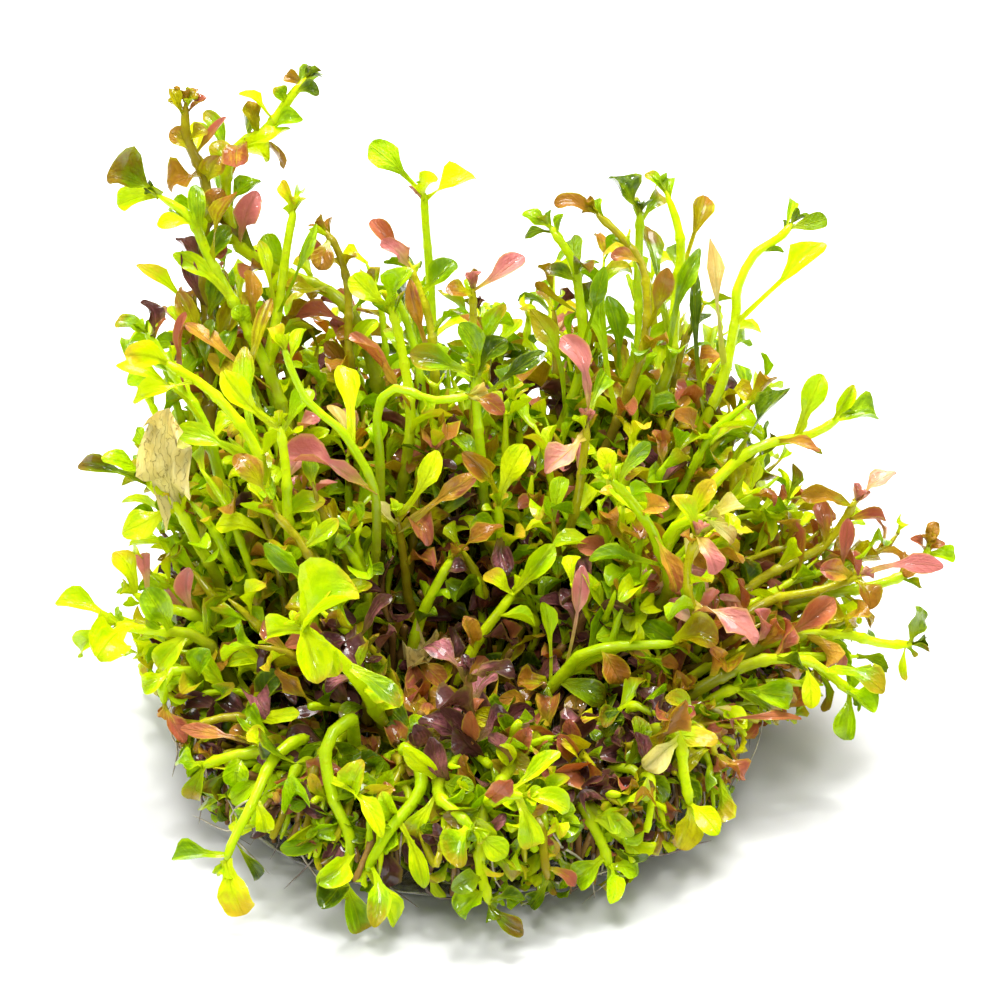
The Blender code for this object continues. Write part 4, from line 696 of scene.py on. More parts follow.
@dataclass
class Puck:
    """The sizes of the gel that the shoots stand in, in millimetres."""

    top_radius: float = 30.6
    foot_radius: float = 28.8
    height: float = 9.0
    rim_rise: float = 0.5
    rim_width: float = 2.2
    foot_round: float = 0.9
    rim_margin: float = 2.4

    def clears(self, points: np.ndarray, reach: float, gap: float = 0.32, floor: float = 0.35) -> bool:
        """Whether points that thick are outside the gel and above the ground.

        Args:
            points: Rows of x, y and z.
            reach: Half the thickness of what runs through them.
            gap: The gap kept to the gel.
            floor: The gap kept to the ground.

        Returns:
            True where all of them are clear.
        """
        above = points[:, 2] > self.height + self.rim_rise + reach - gap
        outside = np.hypot(points[:, 0], points[:, 1]) > self.top_radius + gap + reach
        return bool((above | outside).all() and (points[:, 2] > floor + reach).all())


@dataclass
class Growth:
    """Places the stems and leaves of the measured shoots just where their solids are."""

    puck: Puck = field(default_factory=Puck)
    gap: float = 0.32
    stem_reach: float = 0.78
    leaf_reach: float = 0.42
    stem_spacing: float = 1.8
    sample_spacing: float = 0.6
    foot_reach: float = 2.2
    foot_share: float = 0.22
    knee: tuple[float, float] = (0.12, 2.6)
    slides: tuple[float, ...] = (0.0, 1.5, -1.5, 3.0, -3.0, 4.5, -4.5, 6.0, -6.0)
    leaf_turns: tuple[float, ...] = (0.0, 0.6, -0.6, 1.2, -1.2)
    leaf_spread: float = 1.3
    face_turns: tuple[float, ...] = (0.5, 0.3, 0.3)
    back_root: float = 24.0
    back_bend: tuple[float, float] = (0.35, 0.6)
    sprig_reach: tuple[float, float] = (5.0, 15.0)
    sprig_spans: tuple[tuple[float, float], ...] = ((-3.0, 3.0), (-4.0, 2.0), (8.0, 13.0))
    root_tries: int = 90
    root_step: float = 0.9
    stems: dict[str, list[Vector]] = field(default_factory=dict)
    stem_points: dict[str, np.ndarray] = field(default_factory=dict)
    blade_points: list[np.ndarray] = field(default_factory=list)

    def spiral(self, root: tuple[float, float] | Vector) -> list[Vector]:
        """Places on the gel for a root, from the given one outwards."""
        feet = []
        for step in range(self.root_tries):
            reach = self.root_step * math.sqrt(step)
            turn = GOLDEN_ANGLE * step
            x = root[0] + reach * math.cos(turn)
            y = root[1] + reach * math.sin(turn)
            if math.hypot(x, y) < self.puck.top_radius - self.puck.rim_margin:
                feet.append(Vector((x, y, self.puck.height + self.gap)))
        return feet

    def clear_route(self, foot: Vector, path: list[Vector]) -> list[Vector] | None:
        """The stem from a foot on the gel through a path.

        Args:
            foot: Where it leaves the gel.
            path: The places that it passes through.

        Returns:
            Its route, or None where it would meet another stem or the gel.
        """
        lean = path[0] - foot
        knee = foot + Vector((lean.x * self.knee[0], lean.y * self.knee[0], self.knee[1]))
        route = smooth_route([foot, knee, *path], self.sample_spacing)
        points = as_array(route)
        if not self.puck.clears(points[3:], self.stem_reach):
            return None
        if any(near(points, other, self.stem_spacing) for other in self.stem_points.values()):
            return None
        return route

    def plant(self, name: str, root: tuple[float, float] | Vector, path: list[Vector],
              rooted: bool = False) -> bool:
        """Keeps a stem's place, at the first root about the given one from which its way is clear.

        Args:
            name: The stem.
            root: Where on the gel its root is looked for.
            path: The places that it passes through.
            rooted: Whether they are measured from its foot.

        Returns:
            True where it found one.
        """
        for foot in self.spiral(root):
            route = self.clear_route(foot, [foot + place for place in path] if rooted else path)
            if route:
                self.stems[name] = route
                self.stem_points[name] = as_array(route)
                return True
        return False

    def grow_stem(self, shoot: Shoot) -> None:
        """Places a measured stem, slid along the lines of sight where it would meet another."""
        for slide in self.slides:
            path = [EYE.seen(across, down, back + slide) for across, down, back in shoot.path]
            if self.plant(shoot.name, shoot.root, path):
                return

    def grow_back_stem(self, bearing: float, lean: float, height: float) -> None:
        """Places one of the stems that lean out behind."""
        out = Vector((math.cos(math.radians(bearing)), math.sin(math.radians(bearing)), 0.0))
        tip = out * lean + Vector((0, 0, height))
        bend = out * (lean * self.back_bend[0]) + Vector((0, 0, height * self.back_bend[1]))
        self.plant(f"shoot_back_{round(bearing)}", out * self.back_root, [bend, tip], rooted=True)

    def grow_low_sprigs(self, count: int) -> None:
        """Places the short old stems in the gaps between the shoots."""
        draw = random.Random("low sprigs")
        start, radius = self.sprig_reach
        for number, (x, y) in enumerate(spread(count, radius, start=start), 1):
            rise = Vector([draw.uniform(low, high) for low, high in self.sprig_spans])
            self.plant(f"low_sprig_{number}", (x, y - 3.0), [rise], rooted=True)

    def takes(self, name: str, blade: Blade) -> bool:
        """Whether a blade is clear of everything, in which case its place is kept.

        Args:
            name: The stem that it grows on.
            blade: The leaf's place.

        Returns:
            True where there is room for it.
        """
        points = blade.samples(self.sample_spacing, self.foot_share)
        if not self.puck.clears(points, self.leaf_reach):
            return False
        reach = self.stem_reach + self.leaf_reach
        for other, stem in self.stem_points.items():
            outer = points
            if other == name:
                outer = points[np.linalg.norm(points - np.array(blade.foot), axis=1) > self.foot_reach]
            if len(outer) and near(outer, stem, reach):
                return False
        if any(near(points, there, 2 * self.leaf_reach + self.gap) for there in self.blade_points):
            return False
        self.blade_points.append(points)
        return True

    def measured_blades(self, shoot: Shoot) -> list[Blade]:
        """Where the shoot's measured leaves are, in the order of its list."""
        draw = random.Random(shoot.name)
        route = self.stems[shoot.name]
        blades = []
        for leaf in shoot.leaves:
            foot, _ = place_on(route, leaf.at)
            facing = EYE.half_up + Vector([draw.uniform(-most, most) for most in self.face_turns])
            width = leaf.width * self.leaf_spread
            tries = [Blade(foot, leaf.tip(foot, slide), width, facing) for slide in self.slides]
            free = (blade for blade in tries if self.takes(shoot.name, blade))
            blades.append(next(free, tries[0]))
        return blades

    def paired_blades(self, name: str, shares: tuple[float, ...], length: float, width: float) -> list[Blade]:
        """Leaves in crossed pairs along a stem, left out where there is no room.

        Args:
            name: The stem.
            shares: Where on it the pairs grow.
            length: How long the leaves are.
            width: How wide they are.

        Returns:
            The leaves' places.
        """
        draw = random.Random(name + " pairs")
        blades = []
        for row, share in enumerate(shares):
            foot, ahead = place_on(self.stems[name], share)
            across = ahead.cross(Vector((0.3, 1.0, 0.2))).normalized()
            turn = row * math.pi / 2 + draw.uniform(-0.4, 0.4)
            for side in (0.0, math.pi):
                for extra in self.leaf_turns:
                    out = Matrix.Rotation(turn + side + extra, 3, ahead) @ across
                    way = (out + ahead * draw.uniform(0.3, 0.8)).normalized()
                    tip = foot + way * (length * draw.uniform(0.8, 1.1))
                    blade = Blade(foot, tip, width, ahead + Vector((0.0, 0.0, 0.5)))
                    if self.takes(name, blade):
                        blades.append(blade)
                        break
        return blades


class Guard:
    """Keeps the measured shoots in sight: what would stand between them and the eye is left out."""

    def __init__(self, growth: Growth, finer: list[Blade], reach: float = 1.25, slack: float = 0.4) -> None:
        """Takes the places of the measured stems and leaves.

        Args:
            growth: Where they are.
            finer: The small leaves that fill them out.
            reach: How near to a leaf, in the view's hundredths, nothing may stand.
            slack: How far in front of them something may be.
        """
        self.slack = slack
        points, reaches = [], []
        for shoot in SHOOTS:
            route = as_array(growth.stems[shoot.name])
            away = EYE.places(route) - np.array(shoot.path[0][:2])
            points.append(route[int(np.hypot(*away.T).argmin()):])
            reaches.append(np.full(len(points[-1]), shoot.clear))
        leaves = [blade[::3] for blade in growth.blade_points]
        leaves += [blade.samples(1.2, 0.4) for blade in finer]
        points += leaves
        reaches += [np.full(len(leaf), reach) for leaf in leaves]
        self.reaches = np.concatenate(reaches)
        self.places = EYE.places(np.concatenate(points))
        self.depths = EYE.depths(np.concatenate(points))

    def meets(self, across: float, down: float, reach: float) -> bool:
        """Whether that place of the view is in the clump's close outline or near a measured shoot."""
        away = self.places - np.array([across, down])
        return bool(CLOSE.holds(np.array([[across, down]]))[0] or np.hypot(*away.T).min() < reach)

    def hides(self, points: np.ndarray, share: float = 1.0) -> bool:
        """Whether something at those points would hide a measured shoot.

        Args:
            points: Where it is.
            share: How much of the guard's reach is kept free of it.

        Returns:
            True where it would stand in the way.
        """
        away = EYE.places(points)[:, None] - self.places[None]
        close = np.hypot(away[:, :, 0], away[:, :, 1]) < self.reaches[None] * share
        nearer = EYE.depths(points)[:, None] < self.depths[None] - self.slack
        return bool((close & nearer).any())


@dataclass
class LeafForm:
    """A leaf as it is drawn: its place, its outline and how its blade curls, in millimetres."""

    foot: Vector
    tip: Vector
    face: Vector
    width: float
    finish: Finish
    bow: float = 0.1
    cup: float = 0.3
    fold: float = 0.1
    twist: float = 0.0
    ripple: float = 0.0
    phase: float = 0.0
    stalk: float = 0.25
    hook: float = 0.0
    end: float = 0.7
    sickle: float = 0.0
    spoon: float = 0.0
    tint: float = 0.5
    age: float = 0.0


@dataclass
class StemForm:
    """A stem as it is drawn: its route, its thickness, where its nodes are, and its finish."""

    route: list[Vector]
    radius: float
    tip_radius: float
    nodes: list[float]
    finish: Finish
    swell: float = 1.28
    tint: float = 0.5
    dim: float = 1.0
    sides: int = 8


def mapped_mesh() -> bmesh.types.BMesh:
    """An empty mesh with the two maps that the finishes read."""
    mesh = bmesh.new()
    mesh.loops.layers.uv.new("leaf")
    mesh.loops.layers.uv.new("tint")
    return mesh


def made_of(shape: bmesh.types.BMesh, name: str) -> bpy.types.Object:
    """An object of that name, with the shape as its mesh."""
    data = bpy.data.meshes.new(name)
    shape.to_mesh(data)
    shape.free()
    made = bpy.data.objects.new(name, data)
    bpy.context.scene.collection.objects.link(made)
    return made


def settle(piece: bpy.types.Object, slot: str, *nodes: str) -> bpy.types.Object:
    """Lets a piece ride on the clump's body in the place of its solids."""
    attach(piece, "root")
    if nodes:
        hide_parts(*nodes)
    LOG.info("%s: %d faces", piece.name, len(piece.data.polygons))
    return piece


class Template:
    """A mesh of one leaf or stem, whose points are moved for each leaf or stem that is drawn."""

    def __init__(self, shape: bmesh.types.BMesh) -> None:
        """Keeps the shape, which has the two maps that the finishes read, as mesh data."""
        self.mesh = bpy.data.meshes.new("template")
        shape.to_mesh(self.mesh)
        shape.free()
        self.size = len(self.mesh.vertices)
        self.loops = len(self.mesh.loops)
        corners = np.zeros(self.size * 3, np.float32)
        self.mesh.vertices.foreach_get("co", corners)
        self.corners = corners.reshape(-1, 3).astype(float)

    def stamp(self, target: bmesh.types.BMesh, points: np.ndarray, tint: tuple[float, float],
              slot: int) -> None:
        """Adds one copy to a mesh.

        Args:
            target: The mesh that it is added to.
            points: Where the copy's points go.
            tint: The copy's own shade and age, for its second map.
            slot: The number of its material.
        """
        self.mesh.vertices.foreach_set("co", points.astype(np.float32).ravel())
        self.mesh.uv_layers["tint"].data.foreach_set("uv", np.tile(np.float32(tint), self.loops))
        self.mesh.polygons.foreach_set("material_index", np.full(len(self.mesh.polygons), slot, np.int32))
        target.from_mesh(self.mesh)


def leaf_template(columns: int, rows: int) -> Template:
    """A closed leaf: two grids that share their edge.

    Args:
        columns: Faces across one side of the blade.
        rows: Faces along it.

    Returns:
        The template, with x from -1 to 1 across, y from 0 to 1 along, and z 1 above and -1 below.
    """
    shape = mapped_mesh()
    bmesh.ops.create_grid(shape, x_segments=columns, y_segments=rows, size=1.0)
    copied = bmesh.ops.duplicate(shape, geom=shape.verts[:] + shape.edges[:] + shape.faces[:])["geom"]
    below = {item for item in copied if isinstance(item, bmesh.types.BMVert)}
    bmesh.ops.reverse_faces(shape, faces=[item for item in copied if isinstance(item, bmesh.types.BMFace)])
    inner = 0.999
    for vert in shape.verts:
        edge = abs(vert.co.x) > inner or abs(vert.co.y) > inner
        side = -1.0 if vert in below else 1.0
        vert.co = (vert.co.x, (vert.co.y + 1) / 2, 0.0 if edge else side)
    rim = [edge for edge in shape.edges if edge.is_boundary]
    for edge in rim:
        edge.smooth = False
    bmesh.ops.remove_doubles(shape, verts=shape.verts[:], dist=0.001)
    along = shape.loops.layers.uv["leaf"]
    for face in shape.faces:
        face.smooth = True
        for loop in face.loops:
            loop[along].uv = ((loop.vert.co.x + 1) / 2, loop.vert.co.y)
    return Template(shape)


@cache
def stem_template(sides: int, rings: int) -> Template:
    """A closed stem: a round tube of that many rings, made once.

    Args:
        sides: Faces round it.
        rings: Rings of points along it, the two ends counted.

    Returns:
        The template, with x and y on a circle of radius 1 and z the number of the ring.
    """
    shape = mapped_mesh()
    bmesh.ops.create_cone(shape, cap_ends=True, segments=sides, radius1=1.0, radius2=1.0, depth=1.0)
    for vert in shape.verts:
        vert.co.z = 0.0 if vert.co.z < 0 else rings - 1.0
    upright = [edge for edge in shape.edges if abs(edge.verts[0].co.z - edge.verts[1].co.z) > 0.5]
    bmesh.ops.subdivide_edges(shape, edges=upright, cuts=rings - 2)
    along = shape.loops.layers.uv["leaf"]
    for face in shape.faces:
        face.smooth = True
        for loop in face.loops:
            loop[along].uv = (0.5, loop.vert.co.z / (rings - 1.0))
    return Template(shape)


class LeafPress:
    """Works out where the points of many leaves go."""

    def __init__(self, template: Template, thickness: float = 0.3) -> None:
        """Takes the leaf template and how thick a blade is at its midrib."""
        self.template = template
        self.thickness = thickness
        self.across = template.corners[:, 0]
        self.along = 1 - (1 - template.corners[:, 1]) ** 1.3
        self.layer = template.corners[:, 2]

    def outline(self, stalk: np.ndarray, end: np.ndarray, spoon: np.ndarray) -> np.ndarray:
        """Half the blade's width along it, as a share of its widest: a narrow foot and a round end.

        Args:
            stalk: How wide each leaf's foot is against its widest place.
            end: How wide its end is.
            spoon: How much of its length is stalk before the blade widens.

        Returns:
            A row for each leaf.
        """
        rise = np.clip((self.along[None] - 0.05 - spoon) / (0.6 - 0.9 * spoon), 0, 1)
        swell = stalk + (1 - stalk) * (rise * rise * (3 - 2 * rise))
        past = np.clip((self.along - 0.7) / 0.3, 0, 1)[None]
        return swell * np.sqrt(1 - (1 - end ** 2) * past ** 2)

    def points(self, forms: list[LeafForm]) -> np.ndarray:
        """The points of those leaves, as an array of leaves by points by x, y and z."""
        foot = np.array([tuple(f.foot) for f in forms])[:, None]
        tip = np.array([tuple(f.tip) for f in forms])[:, None]
        face = np.array([tuple(f.face) for f in forms])[:, None]
        numbers = np.array([
            (f.width / 2, f.bow, f.cup, f.fold, f.twist, f.ripple, f.phase, f.stalk, f.hook, f.end, f.sickle,
             f.spoon) for f in forms
        ])
        half, bow, cup, fold, twist, ripple, phase, stalk, hook, end, sickle, spoon = (
            numbers[:, i:i + 1] for i in range(12)
        )
        span = tip - foot
        length = np.linalg.norm(span, axis=2, keepdims=True)
        ahead = span / length
        face = unit(face - ahead * (face * ahead).sum(2, keepdims=True))
        bend = foot + span * 0.52 + face * (bow[:, :, None] * 2 * length)
        bend = bend + np.cross(ahead, face) * (sickle[:, :, None] * length)
        past = np.clip((self.along - 0.6) / 0.4, 0, 1)[None]
        share = self.along[None] - 0.45 * (1 - np.sqrt(1 - end ** 2)) * self.across ** 2 * past ** 2
        t = share[:, :, None]
        centre = (1 - t) ** 2 * foot + 2 * (1 - t) * t * bend + t ** 2 * tip
        way = unit((1 - t) * (bend - foot) + t * (tip - bend))
        up = unit(face - way * (face * way).sum(2, keepdims=True))
        side = np.cross(way, up)
        curl = (hook * np.clip(share - 0.45, 0, 1) ** 2)[:, :, None] * length
        centre = centre - up * curl * 1.6 - way * curl * 0.5
        turn = (twist * self.along)[:, :, None]
        side, up = side * np.cos(turn) + up * np.sin(turn), up * np.cos(turn) - side * np.sin(turn)
        wide = self.outline(stalk, end, spoon)
        reach = half * wide
        across = self.across[None]
        lift = reach * (1 - 0.6 * past ** 2) * (cup * wide * across ** 2 + fold * np.abs(across))
        lift = lift + half * ripple * np.sin(self.along[None] * 11 + phase + across * 1.3) * np.abs(across)
        thick = np.minimum(self.thickness / 2, 0.35 * reach)
        lift = lift + self.layer[None] * thick * (1 - 0.6 * np.abs(across))
        return centre + side * (reach * across)[:, :, None] + up * lift[:, :, None]


@cache
def leaf_press(columns: int, rows: int) -> LeafPress:
    """The press for leaves with that many faces across one side and along, made once."""
    return LeafPress(leaf_template(columns, rows))


def stations(form: StemForm, length: float) -> list[tuple[float, float]]:
    """The shares of a stem where its rings are, and how much it is swollen at each."""
    half = NODE_REACH / length
    places = [(0.0, 1.0)]
    for node in sorted(form.nodes):
        start = max(node - half, places[-1][0] + 0.4 * half)
        middle = (places[-1][0] + start) / 2
        places.append((middle, 1.0))
        places += [(start, 1.02), (start + 0.8 * half, form.swell)]
        places += [(start + 1.5 * half, form.swell * 0.93), (start + 2.2 * half, 0.98)]
    last = places[-1][0]
    extra = max(2, round((1 - last) * length / RING_SPACING))
    places += [(last + (1 - last) * step / extra, 1.0) for step in range(1, extra + 1)]
    return [(min(share, 1.0), swell) for share, swell in places]


def drawn_stem(form: StemForm) -> tuple[Template, np.ndarray]:
    """One stem's template and the points of its copy."""
    route = as_array(form.route)
    steps = np.linalg.norm(np.diff(route, axis=0), axis=1)
    reached = np.concatenate([[0.0], np.cumsum(steps)]) / steps.sum()
    shares, swells = np.array(stations(form, route_length(form.route))).T
    centres = np.stack([np.interp(shares, reached, route[:, axis]) for axis in range(3)], axis=1)
    ways = np.gradient(route, axis=0)
    ways = unit(np.stack([np.interp(shares, reached, ways[:, axis]) for axis in range(3)], axis=1))
    radii = (form.radius + (form.tip_radius - form.radius) * shares ** 1.5) * swells
    radii[-1] *= 0.35
    radii[-2] *= 0.85
    side = np.cross(ways[0], (0.31, 0.87, 0.38))
    sides, fronts = [], []
    for way in ways:
        side = unit(side - way * (side @ way))
        sides.append(side)
        fronts.append(np.cross(way, side))
    template = stem_template(form.sides, len(shares))
    ring = np.rint(template.corners[:, 2]).astype(int)
    x = template.corners[:, 0:1] * radii[ring][:, None]
    y = template.corners[:, 1:2] * radii[ring][:, None]
    return template, centres[ring] + np.array(sides)[ring] * x + np.array(fronts)[ring] * y


@dataclass
class Foliage:
    """Gathers leaves and stems into one piece, in the place of its solids."""

    name: str
    nodes: tuple[str, ...]
    slot: str
    fine_leaves: list[LeafForm] = field(default_factory=list)
    plain_leaves: list[LeafForm] = field(default_factory=list)
    stem_forms: list[StemForm] = field(default_factory=list)

    def build(self) -> bpy.types.Object:
        """Draws everything that was gathered as one mesh and dresses it.

        Returns:
            The piece, which rides on the clump's body.
        """
        present = {form.finish for form in (*self.fine_leaves, *self.plain_leaves, *self.stem_forms)}
        finishes = [finish for finish in Finish if finish in present]
        mesh = mapped_mesh()
        for faces, forms in ((FINE_FACES, self.fine_leaves), (PLAIN_FACES, self.plain_leaves)):
            press = leaf_press(*faces)
            if forms:
                for form, points in zip(forms, press.points(forms)):
                    slot = finishes.index(form.finish)
                    press.template.stamp(mesh, points * MM, (form.tint, form.age), slot)
        for form in self.stem_forms:
            template, points = drawn_stem(form)
            template.stamp(mesh, points * MM, (form.tint, form.dim), finishes.index(form.finish))
        piece = made_of(mesh, self.name)
        for finish in finishes:
            piece.data.materials.append(plant_material(finish))
        return settle(piece, self.slot, *self.nodes)


class Value:
    """A shader's number that adds, subtracts and multiplies as Python's numbers do."""

    def __init__(self, book: "NodeBook", socket: bpy.types.NodeSocket) -> None:
        """Wraps an output socket."""
        self.book = book
        self.socket = socket

    def __add__(self, other: "Value | float") -> "Value":
        """This plus other."""
        return self.book.maths("ADD", self, other)

    __radd__ = __add__

    def __sub__(self, other: "Value | float") -> "Value":
        """This less other."""
        return self.book.maths("SUBTRACT", self, other)

    def __rsub__(self, other: float) -> "Value":
        """Other less this."""
        return self.book.maths("SUBTRACT", other, self)

    def __mul__(self, other: "Value | float") -> "Value":
        """This times other."""
        return self.book.maths("MULTIPLY", self, other)

    __rmul__ = __mul__

    def __pow__(self, other: float) -> "Value":
        """This to that power."""
        return self.book.maths("POWER", self, other)

    def size(self) -> "Value":
        """This without its sign."""
        return self.book.maths("ABSOLUTE", self)

    def wave(self) -> "Value":
        """The sine of this."""
        return self.book.maths("SINE", self)

    def between(self, low: float, high: float) -> "Value":
        """0 where this is at low and 1 where it is at high, smooth in the middle."""
        settings = {"interpolation_type": "SMOOTHSTEP"}
        node = self.book.node("ShaderNodeMapRange", settings, {0: self, 1: low, 2: high})
        return Value(self.book, node.outputs[0])


class NodeBook:
    """One material and the nodes in it."""

    def __init__(self, name: str) -> None:
        """Starts a material with nothing but its output."""
        self.material = bpy.data.materials.new(name)
        self.material.use_nodes = True
        self.tree = self.material.node_tree
        self.tree.nodes.clear()

    def node(self, kind: str, settings: dict | None = None, inputs: dict | None = None) -> bpy.types.Node:
        """Adds a node.

        Args:
            kind: The node's type.
            settings: Its own settings, which are set first.
            inputs: What goes into its sockets, by name or number: a Value, a socket or a constant.

        Returns:
            The node.
        """
        made = self.tree.nodes.new(kind)
        for name, setting in (settings or {}).items():
            setattr(made, name, setting)
        for name, given in (inputs or {}).items():
            socket = made.inputs[name]
            if isinstance(given, Value):
                self.tree.links.new(given.socket, socket)
            elif isinstance(given, bpy.types.NodeSocket):
                self.tree.links.new(given, socket)
            else:
                socket.default_value = given
        return made

    def maths(self, operation: str, *terms: "Value | float") -> Value:
        """A Math node on those terms."""
        made = self.node("ShaderNodeMath", {"operation": operation}, dict(enumerate(terms)))
        return Value(self, made.outputs[0])

    def mixed(self, share: "Value | float", first: object, second: object) -> object:
        """A colour between two others.

        Args:
            share: How much of the second there is.
            first: The first colour or its socket.
            second: The second.

        Returns:
            The socket of the mixed colour.
        """
        colours = [(*c, 1.0) if isinstance(c, tuple) else c for c in (first, second)]
        made = self.node("ShaderNodeMix", {"data_type": "RGBA"}, {0: share, 6: colours[0], 7: colours[1]})
        return made.outputs[2]

    def noise(self, scale: float, detail: float = 2.0, roughness: float = 0.5, *place: Value) -> Value:
        """A noise about 0.5, in the piece's own space or at that x, y and z."""
        if place:
            there = self.node("ShaderNodeCombineXYZ", {}, dict(enumerate(place))).outputs[0]
        else:
            there = self.node("ShaderNodeTexCoord").outputs["Object"]
        inputs = {"Vector": there, "Scale": scale, "Detail": detail, "Roughness": roughness}
        return Value(self, self.node("ShaderNodeTexNoise", {}, inputs).outputs[0])

    def bumped(self, height: Value, strength: float, distance: float) -> bpy.types.NodeSocket:
        """The normal of a surface with that relief."""
        inputs = {"Strength": strength, "Distance": distance, "Height": height}
        return self.node("ShaderNodeBump", {}, inputs).outputs[0]

    def map_pair(self, name: str) -> tuple[Value, Value]:
        """The two numbers of one of the piece's maps."""
        place = self.node("ShaderNodeUVMap", {"uv_map": name}).outputs[0]
        parts = self.node("ShaderNodeSeparateXYZ", {}, {0: place})
        return Value(self, parts.outputs[0]), Value(self, parts.outputs[1])

    def finish(self, shader: bpy.types.NodeSocket) -> bpy.types.Material:
        """Links the shader to the material's output."""
        self.node("ShaderNodeOutputMaterial", {}, {"Surface": shader})
        return self.material


def plant_material(finish: Finish) -> bpy.types.Material:
    """The material of one kind of leaf or stem, made once.

    Args:
        finish: Which kind.

    Returns:
        The material.
    """
    name = "rotala_" + finish.name.lower()
    found = bpy.data.materials.get(name)
    if found:
        return found
    look = FINISHES[finish]
    book = NodeBook(name)
    if finish.name.endswith("STEM"):
        colour, relief = stem_colour(book, look)
    else:
        colour, relief = leaf_colour(book, look)
    if finish is Finish.WITHERED:
        across, _ = book.map_pair("leaf")
        lines = 1 - (across * 20.0 + book.noise(420.0, 3.0, 0.6) * 14.0).wave().size().between(0.0, 0.22)
        colour = book.mixed(lines * 0.7, colour, (0.30, 0.16, 0.03))
        relief = relief + lines
    wet = book.noise(360.0, 1.0)
    coat = wet.between(0.44, 0.56) * look.wet
    rough = look.roughness + (book.noise(900.0) - 0.5) * 0.25
    body = book.node("ShaderNodeBsdfPrincipled", {}, {
        "Base Color": colour,
        "Roughness": rough,
        "Coat Weight": coat,
        "Coat Roughness": 0.05,
        "Coat IOR": 1.5,
        "Specular IOR Level": 0.12,
        "Normal": book.bumped(relief, 0.9, 0.00022),
    })
    light = book.node("ShaderNodeBsdfTranslucent", {}, {"Color": (*look.glow, 1.0)})
    both = book.node("ShaderNodeMixShader", {}, {0: look.through, 1: body.outputs[0], 2: light.outputs[0]})
    return book.finish(both.outputs[0])


def leaf_colour(book: NodeBook, look: PlantFinish) -> tuple[object, Value]:
    """A leaf's colour and relief.

    Args:
        book: The material.
        look: The leaf's finish.

    Returns:
        The socket of its colour, and the height of its cells and veins.
    """
    across, along = book.map_pair("leaf")
    shade, age = book.map_pair("tint")
    off = (across - 0.5).size()
    mottle = book.noise(420.0, 3.0, 0.6)
    spots = book.noise(1900.0, 2.0)
    cells = book.noise(5200.0, 1.0)
    streaks = book.noise(1.0, 3.0, 0.6, across * 8.0, along * 1.6, shade * 70.0)
    blend = shade * 0.8 + (mottle - 0.5) * 1.7 + (streaks - 0.5) * 1.7 + along * 0.2
    colour = book.mixed(blend.between(0.1, 0.9), look.fresh, look.full)
    colour = book.mixed(1 - along.between(0.0, 0.5), colour, look.foot)
    side_veins = ((along * 40.0 - off * 24.0).wave() * 0.5 + 0.5) ** 4.0
    veins = (1 - off.between(0.012, 0.045)) + side_veins * 0.3
    colour = book.mixed(veins * 0.32, colour, look.foot)
    worn = (along + off * 0.3 + (mottle - 0.5) * 0.8 + (streaks - 0.5) * 0.5 + age * 1.15 - 1.05)
    worn = worn.between(0.0, 0.45)
    colour = book.mixed(worn * 0.8, colour, look.old)
    colour = book.mixed(spots.between(0.6, 0.75) * 0.35, colour, look.full)
    # The lighter margin is painted light: the glow of light through the thin edge of the leaf.
    colour = book.mixed(off.between(0.40, 0.49) * 0.4, colour, look.foot)
    relief = cells * 0.3 + mottle * 1.0 + spots * 0.5 + veins * 0.6 + streaks * 0.9
    return colour, relief


def stem_colour(book: NodeBook, look: PlantFinish) -> tuple[object, Value]:
    """A stem's colour and relief: dark at its foot and paler along its length."""
    shade, dim = book.map_pair("tint")
    _, along = book.map_pair("leaf")
    streaks = book.noise(700.0, 2.0)
    fine = book.noise(2600.0, 2.0)
    colour = book.mixed((shade + (streaks - 0.5) * 1.4).between(0.0, 1.0), look.fresh, look.full)
    colour = book.mixed((1 - (along + (streaks - 0.5) * 0.4).between(0.15, 0.62)) * dim, colour, look.foot)
    colour = book.mixed(fine.between(0.60, 0.72) * 0.5, colour, look.old)
    return colour, streaks * 0.8 + fine * 0.5


def gel_material() -> bpy.types.Material:
    """Clear culture gel: a little cloudy, with a soft wet surface."""
    book = NodeBook("rotala_gel")
    # The yellow-grey tint is painted shade: it darkens the gel, which lies in the clump's shadow.
    body = book.node("ShaderNodeBsdfPrincipled", {}, {
        "Base Color": (0.90, 0.89, 0.80, 1.0),
        "Roughness": 0.1,
        "IOR": 1.34,
        "Transmission Weight": 1.0,
        "Normal": book.bumped(book.noise(260.0, 2.0), 0.35, 0.0004),
    })
    return book.finish(body.outputs[0])


def root_material() -> bpy.types.Material:
    """The roots' material, from pale young ones to old dark ones."""
    book = NodeBook("rotala_roots")
    shade, _ = book.map_pair("tint")
    streaks = book.noise(900.0, 2.0)
    colour = book.mixed((shade + streaks - 0.5).between(0.0, 1.0), (0.72, 0.66, 0.46), (0.10, 0.05, 0.03))
    body = book.node("ShaderNodeBsdfPrincipled", {}, {
        "Base Color": colour, "Roughness": 0.4, "Coat Weight": 0.4, "Coat Roughness": 0.1,
        "Normal": book.bumped(streaks, 0.3, 0.00005),
    })
    return book.finish(body.outputs[0])


